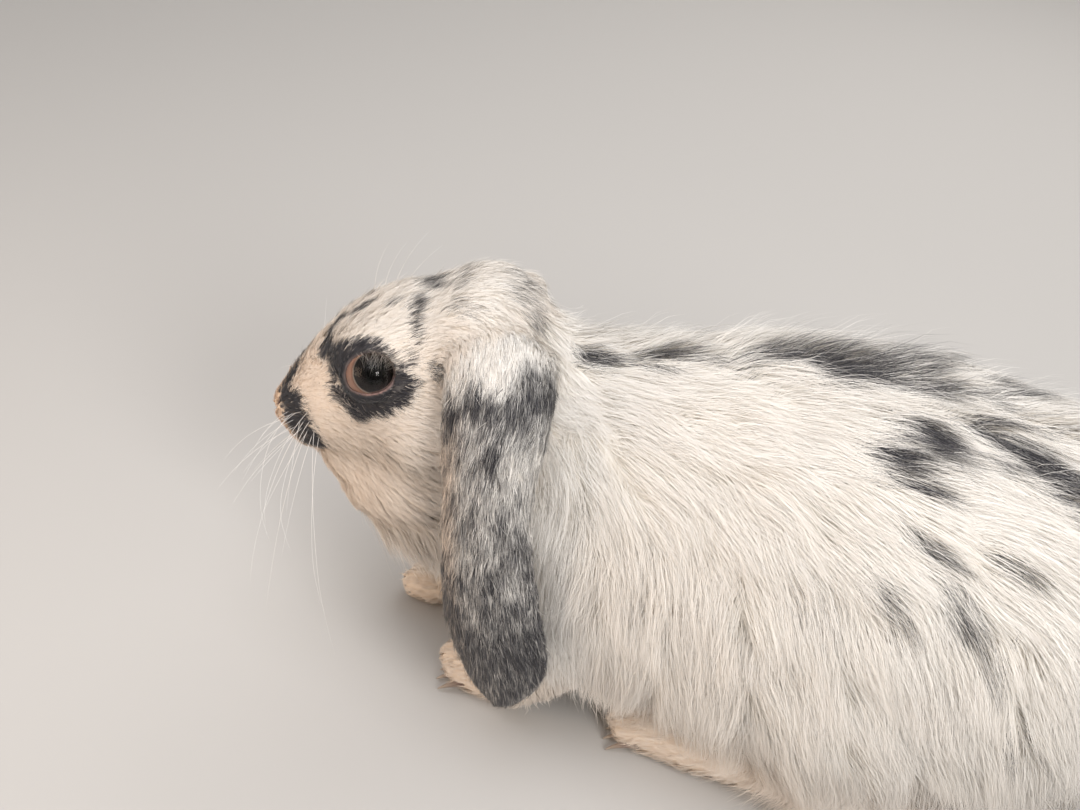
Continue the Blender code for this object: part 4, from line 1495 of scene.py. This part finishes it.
        seen_at = places[:, -2 if joints > 3 else -1]
        nodes = self.skin.owner[tufts.triangle][tuft]
        dark = self.markings.darkness(seen_at, membership(nodes))
        chance = 0.35 * random.random(len(tufts))[tuft] + 0.65 * random.random(count)
        way = np.concatenate([np.repeat(s[:-1], 2), s[-1:]])
        colour = np.empty((count, verts, 4), np.float32)
        colour[:, :, 0] = ease(dark - chance, -pelt.blend, pelt.blend)[:, None]
        colour[:, :, 1] = way
        colour[:, :, 2] = random.random(count)[:, None]
        # the fourth channel: tan that is partly painted warm bounce light
        colour[:, :, 3] = tan_and_painted_bounce(self.plan, seen_at, nodes)[:, None]
        store_colour(made, "coat", colour)
        up = mesh.attributes.new("custom_normal", "FLOAT_VECTOR", "POINT")
        up.data.foreach_set("vector", normals.astype(np.float32).ravel())
        edge = np.zeros(verts)
        edge[0:-1:2], edge[1:-1:2] = -0.5, 0.5
        flat = (self.skin.flat[tufts.triangle] * tufts.shares[:, :, None]).sum(1)[tuft]
        patch = np.empty((count, verts, 2), np.float32)
        patch[..., 0] = flat[:, None, 0] + PATCH * ((column[:, None] + 0.5 + edge) / pelt.strands - 0.5)
        patch[..., 1] = flat[:, None, 1] + PATCH * (way - 0.5)
        layer = mesh.uv_layers.new(name="OFBake")
        layer.data.foreach_set("uv", patch.reshape(-1, 2)[faces.ravel()].ravel())
        return made


# ---------------------------------------------------------------- eyes, whiskers and claws


def outward(points: np.ndarray, triangles: np.ndarray) -> np.ndarray:
    """Turns the triangles of a closed body round the origin so that they face outward."""
    a, b, c = (points[triangles[:, i]] for i in range(3))
    return triangles[:, ::-1] if (np.cross(a, b) * c).sum() < 0 else triangles


def revolve(rows: np.ndarray, columns: int) -> tuple[np.ndarray, np.ndarray]:
    """A closed surface of revolution about the third axis.

    Args:
        rows: radius and height at each ring, from one pole to the other, without the poles.
        columns: points in each ring.

    Returns:
        Points, with the two poles last, and triangles.
    """
    turn = np.arange(columns) * 2 * np.pi / columns
    ring = np.stack([np.cos(turn), np.sin(turn)], 1)
    points = np.concatenate(
        [np.concatenate([ring * radius, np.full((columns, 1), height)], axis=1) for radius, height in rows]
        + [np.array([[0, 0, rows[0][1]], [0, 0, rows[-1][1]]])]
    )
    faces = grid_faces(len(rows), columns, True)
    triangles = [faces[:, [0, 1, 2]], faces[:, [0, 2, 3]]]
    here = np.arange(columns)
    beside = (here + 1) % columns
    top, bottom = len(rows) * columns, len(rows) * columns + 1
    last = (len(rows) - 1) * columns
    triangles.append(np.stack([np.full(columns, top), beside, here], 1))
    triangles.append(np.stack([np.full(columns, bottom), last + here, last + beside], 1))
    return points, outward(points, np.concatenate(triangles))


def tube(line: np.ndarray, radii: np.ndarray, sides: int) -> tuple[np.ndarray, np.ndarray]:
    """A closed round rod along a line, with a flat end at its root and a point at its tip.

    Args:
        line: places along its middle.
        radii: its radius at each.
        sides: how many flat sides it has.

    Returns:
        Points and triangles.
    """
    heading = unit(np.gradient(line, axis=0))
    aside = square_up(np.broadcast_to(np.array([0.31, 0.52, 0.79]), heading.shape), heading)
    other = np.cross(heading, aside)
    turn = (np.arange(sides) * 2 * np.pi / sides)[None, :, None]
    spokes = aside[:-1, None] * np.cos(turn) + other[:-1, None] * np.sin(turn)
    rings = line[:-1, None] + radii[:-1, None, None] * spokes
    points = np.concatenate([rings.reshape(-1, 3), line[-1:], line[:1]])
    faces = grid_faces(len(line) - 1, sides, True)
    here, beside = np.arange(sides), (np.arange(sides) + 1) % sides
    last = (len(line) - 2) * sides
    triangles = np.concatenate(
        [
            faces[:, [0, 1, 2]],
            faces[:, [0, 2, 3]],
            np.stack([last + here, last + beside, np.full(sides, len(points) - 2)], 1),
            np.stack([beside, here, np.full(sides, len(points) - 1)], 1),
        ]
    )
    return points, triangles


def gather_rods(
    name: str, rods: list[tuple[np.ndarray, np.ndarray]], material: bpy.types.Material
) -> bpy.types.Object:
    """Makes one piece of several rods, and stores the way from root to tip of each.

    Args:
        name: the piece's name.
        rods: each rod's points, which end with its tip and its root, and its triangles.
        material: their material.

    Returns:
        The piece.
    """
    turned, ways = [], []
    for points, triangles in rods:
        turned.append((points, outward(points - points.mean(0), triangles)))
        root, tip = points[-1], points[-2]
        ways.append(np.clip((points - root) @ (tip - root) / ((tip - root) ** 2).sum(), 0, 1))
    made = put_mesh(name, *gather_triangles(turned))
    attribute = made.data.attributes.new("way", "FLOAT", "POINT")
    attribute.data.foreach_set("value", np.concatenate(ways).astype(np.float32))
    made.data.materials.append(material)
    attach(made, BODY)
    return made


@dataclass
class Eye:
    """One eye: a globe with its iris sunk behind a clear cornea. Iris is its half angle in degrees."""

    plan: BodyPlan
    side: str
    hand: float
    iris: float = 46.0
    pupil: float = 2.6
    columns: int = 128
    tears: float = 0.2

    def globe(self, material: bpy.types.Material) -> bpy.types.Object:
        """Makes the globe: a ball whose front is cut back to the iris, which slopes in to the pupil's well.

        Args:
            material: the globe's material.

        Returns:
            The piece.
        """
        radius = self.plan.globe_radius - 0.25
        rim = math.radians(self.iris)
        width, height = radius * math.sin(rim), radius * math.cos(rim)
        pupil, spread = self.pupil, width - 0.2 - self.pupil
        well = [(0.5, height - 2.6), (1.6, height - 2.3), (pupil - 0.1, height - 0.9), (pupil, height - 0.55)]
        slope = np.linspace(0, 1, 14)[1:]
        face = [(pupil + spread * t, height - 0.5 - 0.35 * math.sin(math.pi * t)) for t in slope]
        angles = np.linspace(rim, math.pi - 0.06, 40)
        ball = [(radius * math.sin(t), radius * math.cos(t)) for t in angles]
        points, triangles = revolve(np.array(well + face + ball) * MM, self.columns)
        away = np.hypot(points[:, 0], points[:, 1]) / MM
        turn = np.arctan2(points[:, 1], points[:, 0])
        ring = np.stack([np.cos(turn), np.sin(turn), away * 0.01], axis=1)
        fibre = 0.6 * wander(ring, 0.06, 41) + 0.4 * wander(ring, 0.025, 42)
        off = np.degrees(np.arctan2(away, points[:, 2] / MM))
        on_iris = np.arange(len(points)) < (len(well) + len(face)) * self.columns
        on_iris[-2] = True
        fibre = np.where(on_iris, fibre, 0.9)
        place = np.where(on_iris, 0.5 * away / width, 0.5 + 0.5 * np.clip((off - self.iris) / 50, 0, 1))
        points = self.plan.globe(self.hand) + points @ self.plan.looking(self.hand, self.plan.iris_gaze)
        made = put_mesh(f"globe_{self.side}", points, outward(points - self.plan.globe(self.hand), triangles))
        store_colour(made, "zone", np.stack([place, 0.5 + 0.5 * fibre, on_iris, np.ones(len(points))], 1))
        made.data.materials.append(material)
        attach(made, BODY)
        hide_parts(f"eye_{self.side}")
        return made

    def cornea(self, material: bpy.types.Material) -> bpy.types.Object:
        """Makes the cornea and the tears over the white: a thin clear cap that swells over the iris.

        Args:
            material: the cornea's material.

        Returns:
            The piece.
        """
        radius, rim = self.plan.globe_radius - 0.02, math.radians(self.iris + 3)
        angles = np.linspace(0.02, math.radians(100), 46)
        swell = 0.7 * np.cos(np.minimum(angles / rim, 1) * math.pi / 2) ** 2
        slope = np.stack([np.sin(angles), np.cos(angles)], axis=1)
        outer, inner = ((radius + swell - thick)[:, None] * slope for thick in (0, self.tears))
        points, triangles = revolve(np.concatenate([outer, inner[::-1]]) * MM, 96)
        points = self.plan.globe(self.hand) + points @ self.plan.looking(self.hand, self.plan.iris_gaze)
        made = put_mesh(f"cornea_{self.side}", points, outward(points - points.mean(0), triangles))
        made.data.materials.append(material)
        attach(made, BODY)
        return made


@dataclass
class Bristles:
    """The whiskers, the brow's long hairs and the lashes."""

    plan: BodyPlan
    skin: Skin
    random: np.random.Generator
    ahead_limit: float = 17.0
    ahead_bend: float = 0.92
    side_limit: float = 58.0
    side_give: float = 13.0

    def root(self, place: np.ndarray) -> np.ndarray:
        """The skin's place nearest to one of the head, a little under the surface."""
        found = self.skin.tree.find_nearest(self.plan.from_head(place).tolist())
        return np.array(found[0]) - 0.6 * MM * np.array(found[1])

    def hair(
        self,
        root: np.ndarray,
        way: np.ndarray,
        length: float,
        bend: np.ndarray,
        radius: float,
        joints: int = 15,
    ) -> tuple[np.ndarray, np.ndarray]:
        """One bristle: root + length * (t * way + t * t * bend), thinner towards its tip.

        Args:
            root: its start, in metres of the frame.
            way: its first direction.
            length: in millimetres.
            bend: how far its tip turns, for a length of one.
            radius: at the root, in millimetres.
            joints: how many places along it.

        Returns:
            Points and triangles.
        """
        t = np.linspace(0, 1, joints)[:, None]
        line = root + length * MM * (t * unit(way) + t * t * bend)
        limit = self.plan.to_frame(self.plan.nose)[0] - self.ahead_limit * MM
        line[:, 0] += self.ahead_bend * np.maximum(limit - line[:, 0], 0)
        # beyond the limit a bristle turns back along the head, and nears a plane without reaching it
        beyond = np.maximum(np.abs(line[:, 1]) / MM - self.side_limit, 0)
        kept = self.side_give * (1 - np.exp(-beyond / self.side_give))
        line[:, 1] -= np.sign(line[:, 1]) * (beyond - kept) * MM
        line[:, 2] = np.maximum(line[:, 2], 1.5 * MM)
        return tube(line, radius * MM * (1 - 0.85 * t[:, 0]), 4)

    def whiskers(self, material: bpy.types.Material) -> bpy.types.Object:
        """Makes the whiskers, in rows on the upper lips, and a few over each eye.

        Returns:
            The piece.
        """
        made = []
        for _, hand in SIDES:
            for row in range(4):
                for column in range(5):
                    jitter = self.random.standard_normal(5)
                    low = 2.3 * row - 0.25 * jitter[0]
                    place = np.array([6 + 2.3 * column + 0.4 * row, hand * 12, 2.5 - low])
                    ahead, aside = 0.62 - 0.20 * column + 0.14 * jitter[1], 0.72 + 0.10 * jitter[2]
                    way = np.array([-ahead, hand * aside, 0.22 - 0.24 * row + 0.18 * jitter[3]])
                    bend = np.array([0.12 + 0.08 * jitter[4], -0.10 * hand, -0.34 + 0.12 * jitter[3]])
                    length = min((24 + 8.0 * column) * (1 + 0.18 * jitter[4]), 58)
                    made.append(self.hair(self.root(place), way, length, bend, 0.075))
            for number in range(4):
                jitter = self.random.standard_normal(3)
                place = np.array([36 + 3.0 * number, hand * 16, 25.0])
                way = np.array([-0.25 + 0.18 * number, hand * 0.35, 0.9]) + 0.1 * jitter
                bend = np.array([0.30, 0.12 * hand, -0.05])
                made.append(self.hair(self.root(place), way, 18 + 4 * abs(jitter[0]), bend, 0.06))
        return gather_rods("whiskers", made, material)

    def lashes(self, material: bpy.types.Material) -> bpy.types.Object:
        """Makes the fine hairs of the upper lids, which hang over the eye from behind.

        Returns:
            The piece.
        """
        made = []
        for _, hand in SIDES:
            rows = self.plan.looking(hand, self.plan.gaze)
            for number in range(64):
                around = 58 + 118 * (number + self.random.random()) / 64
                lean = math.radians(self.plan.lid_edge(np.array(around)) + 3 + 9 * self.random.random())
                turn = math.radians(around)
                inward = -(math.cos(turn) * rows[0] + math.sin(turn) * rows[1])
                out = math.cos(lean) * rows[2] - math.sin(lean) * inward
                root = self.plan.globe(hand) + out * (self.plan.globe_radius + 0.6) * MM
                way = 0.50 * out + 0.85 * inward + 0.22 * self.random.standard_normal(3)
                bend = 0.15 * inward - 0.42 * out * self.random.random() - np.array([0, 0, 0.10])
                length = 3.0 + 3.5 * self.random.random() * bump(around - 112, 45)
                made.append(self.hair(root, way, length, bend, 0.045, 6))
        return gather_rods("lashes", made, material)


@dataclass
class Claws:
    """The claws, four to a foot, curved and pointed."""

    plan: BodyPlan
    places: tuple[float, ...] = (-1.5, -0.5, 0.5, 1.5)

    def build(self, material: bpy.types.Material) -> bpy.types.Object:
        """Makes the claws of all four feet, each from its foot's own box.

        Returns:
            The piece.
        """
        made = []
        for kind in ("forefoot", "hindfoot"):
            for side, _ in SIDES:
                low, high = (self.plan.to_plan(np.array(corner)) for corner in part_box(f"{kind}_{side}"))
                middle = (low[1] + high[1]) / 2
                for place in self.places:
                    back = 2.4 + 0.9 * (place**2 - 0.25)
                    tip = np.array([low[0] + back, middle + TOE_APART * place, 1.0])
                    t = np.linspace(0, 1, 12)[:, None]
                    root = tip + (11.0, -0.8 * place, 5.4)
                    line = root * (1 - t) + tip * t + np.array([0, 0, 5.0]) * t * (1 - t)
                    made.append(tube(self.plan.to_frame(line), MM * (1.3 - 1.1 * t[:, 0] ** 2), 10))
        return gather_rods("claws", made, material)


# ---------------------------------------------------------------- finishes


@dataclass
class Wiring:
    """Short ways to add nodes to a shader tree."""

    tree: bpy.types.ShaderNodeTree

    def put(self, socket: bpy.types.NodeSocket, value: object) -> None:
        """Sets one socket: from another socket, or to a number, or to a colour of three numbers."""
        if isinstance(value, bpy.types.NodeSocket):
            self.tree.links.new(value, socket)
        else:
            socket.default_value = (*value, 1) if isinstance(value, tuple) else value

    def mix(self, first: object, second: object, factor: object) -> bpy.types.NodeSocket:
        """A colour between two."""
        node = self.tree.nodes.new("ShaderNodeMix")
        node.data_type = "RGBA"
        for number, value in ((0, factor), (6, first), (7, second)):
            self.put(node.inputs[number], value)
        return node.outputs[2]

    def span(self, value: object, low: float, high: float, bottom: float, top: float) -> bpy.types.NodeSocket:
        """A number carried from one range to another."""
        node = self.tree.nodes.new("ShaderNodeMapRange")
        for socket, number in zip(node.inputs[:5], (value, low, high, bottom, top)):
            self.put(socket, number)
        return node.outputs[0]

    def reader(self, name: str) -> bpy.types.ShaderNode:
        """The node that reads a stored attribute."""
        node = self.tree.nodes.new("ShaderNodeAttribute")
        node.attribute_name = name
        return node

    def split(self, colour: bpy.types.NodeSocket) -> list[bpy.types.NodeSocket]:
        """A colour's three numbers."""
        node = self.tree.nodes.new("ShaderNodeSeparateColor")
        self.tree.links.new(colour, node.inputs[0])
        return list(node.outputs)

    def noise(self, scale: float, detail: float = 3.0) -> bpy.types.NodeSocket:
        """Cloudy noise in the object's own coordinates, of a scale in waves to the metre."""
        place = self.tree.nodes.new("ShaderNodeTexCoord")
        node = self.tree.nodes.new("ShaderNodeTexNoise")
        node.inputs["Scale"].default_value = scale
        node.inputs["Detail"].default_value = detail
        self.tree.links.new(place.outputs["Object"], node.inputs["Vector"])
        return node.outputs[0]

    def relief(self, height: bpy.types.NodeSocket, strength: float, distance: float) -> bpy.types.NodeSocket:
        """The normal of a surface roughened by a height."""
        node = self.tree.nodes.new("ShaderNodeBump")
        node.inputs["Strength"].default_value = strength
        node.inputs["Distance"].default_value = distance
        self.tree.links.new(height, node.inputs["Height"])
        return node.outputs[0]


def new_material(name: str, **settings: float) -> tuple[bpy.types.Material, bpy.types.ShaderNode, Wiring]:
    """Starts a material.

    Args:
        name: the material's name.
        settings: the shader's sockets, with underscores for spaces.

    Returns:
        The material, its shader and the wiring of its tree.
    """
    made = bpy.data.materials.new(name)
    made.use_nodes = True
    shader = made.node_tree.nodes["Principled BSDF"]
    for socket, value in settings.items():
        shader.inputs[socket.replace("_", " ")].default_value = value
    return made, shader, Wiring(made.node_tree)


@dataclass(frozen=True)
class CoatTones:
    """The colours of the hair, as linear red, green and blue."""

    white: tuple[float, float, float] = (0.88, 0.84, 0.79)
    bright: tuple[float, float, float] = (0.94, 0.92, 0.89)
    root: tuple[float, float, float] = (0.84, 0.77, 0.67)
    # tan: partly the coat's own colour, partly painted warm bounce light
    tan: tuple[float, float, float] = (0.78, 0.54, 0.34)
    charcoal: tuple[float, float, float] = (0.020, 0.018, 0.021)
    steel: tuple[float, float, float] = (0.085, 0.085, 0.10)

    def group(self) -> bpy.types.ShaderNodeTree:
        """The shader group that turns a hair's tone, way along, chance and its tan, partly painted warm
        bounce light, into its colour.

        Returns:
            The group, with four inputs and a colour.
        """
        tree = bpy.data.node_groups.new("coat_tone", "ShaderNodeTree")
        for name in ("Dark", "Along", "Chance", "Warm"):
            tree.interface.new_socket(name, in_out="INPUT", socket_type="NodeSocketFloat")
        tree.interface.new_socket("Color", in_out="OUTPUT", socket_type="NodeSocketColor")
        source = tree.nodes.new("NodeGroupInput").outputs
        sink = tree.nodes.new("NodeGroupOutput")
        wiring = Wiring(tree)
        pale = wiring.mix(self.root, self.white, wiring.span(source["Along"], 0.0, 0.55, 0.15, 1.0))
        pale = wiring.mix(pale, self.bright, wiring.span(source["Chance"], 0.4, 1.0, 0.0, 0.6))
        # the Warm input mixes in tan that is partly painted warm bounce light
        pale = wiring.mix(pale, self.tan, wiring.span(source["Warm"], 0.0, 1.0, 0.0, 0.75))
        dark = wiring.mix(self.steel, self.charcoal, wiring.span(source["Chance"], 0.0, 0.8, 0.35, 1.0))
        tree.links.new(wiring.mix(pale, dark, source["Dark"]), sink.inputs["Color"])
        return tree


@dataclass(frozen=True)
class FurFinish:
    """The hair's own material: the shared tone, a soft sheen and little gloss."""

    name: str = "fur"
    roughness: float = 0.62
    sheen: float = 0.22

    def build(self, tones: bpy.types.ShaderNodeTree) -> bpy.types.Material:
        """Makes the material around the shared tones.

        Args:
            tones: the shader group of the coat's colours.

        Returns:
            The material.
        """
        settings = {"Roughness": self.roughness, "Sheen_Weight": self.sheen, "Sheen_Roughness": 0.5}
        made, shader, wiring = new_material(self.name, Specular_IOR_Level=0.3, **settings)
        reader = wiring.reader("coat")
        tone = wiring.tree.nodes.new("ShaderNodeGroup")
        tone.node_tree = tones
        for source, target in zip(wiring.split(reader.outputs["Color"]), ("Dark", "Along", "Chance")):
            wiring.put(tone.inputs[target], source)
        # tan that is partly painted warm bounce light
        wiring.put(tone.inputs["Warm"], reader.outputs["Alpha"])
        wiring.put(shader.inputs["Base Color"], tone.outputs["Color"])
        return made


@dataclass(frozen=True)
class SkinFinish:
    """The skin's material: the coat's tones between the hairs, and bare flesh on lids, nostrils and lips."""

    name: str = "skin"
    flesh: tuple[float, float, float] = (0.27, 0.165, 0.145)
    deep: tuple[float, float, float] = (0.10, 0.05, 0.045)

    def build(self, tones: bpy.types.ShaderNodeTree) -> bpy.types.Material:
        """Makes the material around the shared tones.

        Args:
            tones: the shader group of the coat's colours.

        Returns:
            The material.
        """
        made, shader, wiring = new_material(self.name, Specular_IOR_Level=0.35)
        reader = wiring.reader("coat")
        dark, bare, _ = wiring.split(reader.outputs["Color"])
        tone = wiring.tree.nodes.new("ShaderNodeGroup")
        tone.node_tree = tones
        wiring.put(tone.inputs["Dark"], dark)
        wiring.put(tone.inputs["Along"], wiring.span(wiring.noise(700), 0.3, 0.7, 0.15, 0.5))
        wiring.put(tone.inputs["Chance"], wiring.noise(1800))
        # tan that is partly painted warm bounce light
        wiring.put(tone.inputs["Warm"], reader.outputs["Alpha"])
        flesh = wiring.mix(self.deep, self.flesh, wiring.span(wiring.noise(1200), 0.35, 0.65, 0.35, 1.0))
        wiring.put(shader.inputs["Base Color"], wiring.mix(tone.outputs["Color"], flesh, bare))
        wiring.put(shader.inputs["Roughness"], wiring.span(bare, 0.0, 1.0, 0.85, 0.42))
        wiring.put(shader.inputs["Normal"], wiring.relief(wiring.noise(2600, 4.0), 0.35, 0.0004))
        return made


@dataclass(frozen=True)
class EyeFinish:
    """The globe's material, by zone: pupil, iris with its fibres, the pale line of its rim, and sclera."""

    name: str = "eyeball"
    zones: tuple[tuple[float, tuple[float, float, float]], ...] = (
        (0.00, (0.001, 0.001, 0.001)),
        (0.20, (0.001, 0.001, 0.001)),
        (0.23, (0.002, 0.0015, 0.001)),
        (0.40, (0.013, 0.005, 0.003)),
        (0.47, (0.004, 0.003, 0.002)),
        (0.502, (0.50, 0.38, 0.30)),
        (0.515, (0.30, 0.17, 0.12)),
        (0.60, (0.52, 0.30, 0.22)),
        (0.80, (0.42, 0.22, 0.16)),
    )

    def build(self) -> bpy.types.Material:
        """Makes the material from the stored zones.

        Returns:
            The material.
        """
        made, shader, wiring = new_material(self.name, Roughness=0.4, Specular_IOR_Level=0.12)
        place, fibre, _ = wiring.split(wiring.reader("zone").outputs["Color"])
        ramp = wiring.tree.nodes.new("ShaderNodeValToRGB")
        stops = ramp.color_ramp.elements
        for number, (at, colour) in enumerate(self.zones):
            stop = stops[number] if number < 2 else stops.new(at)
            stop.position, stop.color = at, (*colour, 1)
        wiring.put(ramp.inputs[0], place)
        shade = wiring.mix(ramp.outputs["Color"], (0.0, 0.0, 0.0), wiring.span(fibre, 0.3, 0.75, 0.55, 0.0))
        wiring.put(shader.inputs["Base Color"], shade)
        wiring.put(shader.inputs["Normal"], wiring.relief(fibre, 0.25, 0.0002))
        return made


@dataclass(frozen=True)
class CorneaFinish:
    """The cornea's clear, wet material."""

    name: str = "cornea"
    bending: float = 1.22

    def build(self) -> bpy.types.Material:
        """Makes the material.

        Returns:
            The material.
        """
        settings = {"Roughness": 0.0, "IOR": self.bending, "Specular_IOR_Level": 0.45}
        return new_material(self.name, Transmission_Weight=1.0, Metallic=0.0, **settings)[0]


@dataclass(frozen=True)
class HornFinish:
    """Horn and bristle: one colour at the root and another at the tip, with fine grain."""

    name: str
    root: tuple[float, float, float]
    tip: tuple[float, float, float]
    roughness: float = 0.4
    grain: float = 0.15

    def build(self) -> bpy.types.Material:
        """Makes the material from the stored way along each body.

        Returns:
            The material.
        """
        made, shader, wiring = new_material(self.name, Roughness=self.roughness, Specular_IOR_Level=0.45)
        along = wiring.span(wiring.reader("way").outputs["Fac"], 0.1, 0.95, 0.0, 1.0)
        colour = wiring.mix(self.root, self.tip, along)
        shade = wiring.span(wiring.noise(900), 0.3, 0.7, self.grain, 0.0)
        wiring.put(shader.inputs["Base Color"], wiring.mix(colour, (0.05, 0.035, 0.03), shade))
        return made


# ---------------------------------------------------------------- stage


@dataclass
class Studio:
    """The camera, the pale floor and the soft lamps, in the plan's millimetres."""

    plan: BodyPlan
    eye: tuple[float, float, float] = (156.0, -375.0, 385.0)
    pitch: float = 36.0
    roll: float = 8.0
    heading: float = 10.0
    lens: float = 50.0
    floor_columns: int = 96

    def camera(self) -> None:
        """Sets the camera: pitched down about its own level axis, rolled, then turned about the upright."""
        pitch, roll = math.radians(self.pitch), math.radians(self.roll)
        ahead = Vector((0, math.cos(pitch), -math.sin(pitch)))
        level, upright = Vector((1, 0, 0)), Vector((0, math.sin(pitch), math.cos(pitch)))
        right = math.cos(roll) * level + math.sin(roll) * upright
        top = -math.sin(roll) * level + math.cos(roll) * upright
        turn = Matrix.Rotation(math.radians(self.heading), 3, "Z")
        axes = Matrix((turn @ right, turn @ top, -(turn @ ahead))).transposed()
        data = bpy.data.cameras.new("camera")
        data.lens, data.sensor_width, data.sensor_fit = self.lens, 36.0, "HORIZONTAL"
        data.clip_start, data.clip_end = 0.01, 50
        made = bpy.data.objects.new("camera", data)
        bpy.context.scene.collection.objects.link(made)
        made.matrix_world = Matrix.Translation(Vector(self.plan.to_frame(self.eye))) @ axes.to_4x4()
        bpy.context.scene.camera = made

    def floor(self) -> None:
        """Lays the pale floor: a wide round sheet that curves up all round, far from the rabbit."""
        material, _, _ = new_material("floor", Base_Color=(0.52, 0.505, 0.49, 1), Roughness=0.85)
        radius = np.array([0.02, 0.6, 1.2, 1.5, 1.8, 2.1, 2.35, 2.5, 2.55])
        height = np.array([0.0, 0.0, 0.0, 0.03, 0.14, 0.38, 0.8, 1.4, 2.2])
        here = np.arange(self.floor_columns)
        turn = here * 2 * np.pi / len(here)
        around = np.outer(radius, np.cos(turn)), np.outer(radius, np.sin(turn))
        rings = np.stack([*around, np.outer(height, np.ones(len(here)))], axis=2)
        points = np.concatenate([rings.reshape(-1, 3), np.zeros((1, 3))])
        faces = grid_faces(len(radius), len(here), True)
        middle = np.stack([here, (here + 1) % len(here), np.full(len(here), len(points) - 1)], axis=1)
        triangles = np.concatenate([faces[:, [0, 2, 1]], faces[:, [0, 3, 2]], middle])
        made = put_mesh("floor", points, triangles)
        made.data.materials.append(material)

    def lamps(self) -> None:
        """Hangs the soft lamps and sets the pale surround."""
        world = bpy.data.worlds.new("surround")
        world.use_nodes = True
        world.node_tree.nodes["Background"].inputs[0].default_value = (1.0, 0.985, 0.96, 1)
        world.node_tree.nodes["Background"].inputs[1].default_value = 0.52
        bpy.context.scene.world = world
        target = Vector(self.plan.to_frame((170, 0, 80)))
        for name, place, size, power, tint in (
            ("key", (20, -260, 860), 0.7, 4.6, (0.98, 0.98, 1.0)),
            ("window", (560, -600, 600), 0.34, 4.6, (1.0, 0.98, 0.95)),
            ("warm", (-520, -380, 160), 0.5, 2.4, (1.0, 0.74, 0.52)),
            ("rim", (330, 640, 620), 0.8, 3.0, (1.0, 0.97, 0.94)),
        ):
            data = bpy.data.lights.new(name, "AREA")
            data.shape, data.size, data.energy, data.color = "DISK", size, power, tint
            made = bpy.data.objects.new(name, data)
            bpy.context.scene.collection.objects.link(made)
            made.location = Vector(self.plan.to_frame(place))
            made.visible_glossy = name == "window"
            made.rotation_mode = "QUATERNION"
            made.rotation_quaternion = (target - made.location).to_track_quat("-Z", "Y")

    def build(self) -> None:
        """Makes the whole stage."""
        self.camera()
        self.floor()
        self.lamps()
        bpy.context.scene.view_settings.view_transform = "Standard"


def main() -> None:
    """Builds the rabbit in order and reports the skin and each piece of the coat."""
    began = time.time()
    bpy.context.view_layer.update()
    plan = BodyPlan()
    Studio(plan).build()
    tones = CoatTones().group()
    fur = FurFinish().build(tones)
    markings = Markings(plan, TRUNK_SPOTS + both_sides(HEAD_SPOTS), STROKES, EyeRing())
    skin = Skin(plan)
    skin.build()
    skin.finish(markings, SkinFinish().build(tones))
    log.info("skin after %.1f s", time.time() - began)
    globe, cornea = EyeFinish().build(), CorneaFinish().build()
    for side, hand in SIDES:
        eye = Eye(plan, side, hand)
        eye.globe(globe)
        eye.cornea(cornea)
    bristles = Bristles(plan, skin, np.random.default_rng(3))
    bristles.whiskers(HornFinish("whisker", (0.85, 0.80, 0.76), (0.95, 0.94, 0.92), 0.35, 0.0).build())
    bristles.lashes(HornFinish("lash", (0.62, 0.50, 0.42), (0.90, 0.84, 0.78), 0.45, 0.0).build())
    Claws(plan).build(HornFinish("horn", (0.17, 0.11, 0.09), (0.40, 0.33, 0.27)).build())
    coat = Coat(plan, skin, markings, fur)
    total = sum(len(coat.grow(pelt).data.polygons) for pelt in PELTS)
    log.info("coat in all: %d triangles after %.1f s", total, time.time() - began)


if __name__ == "__main__":
    main()
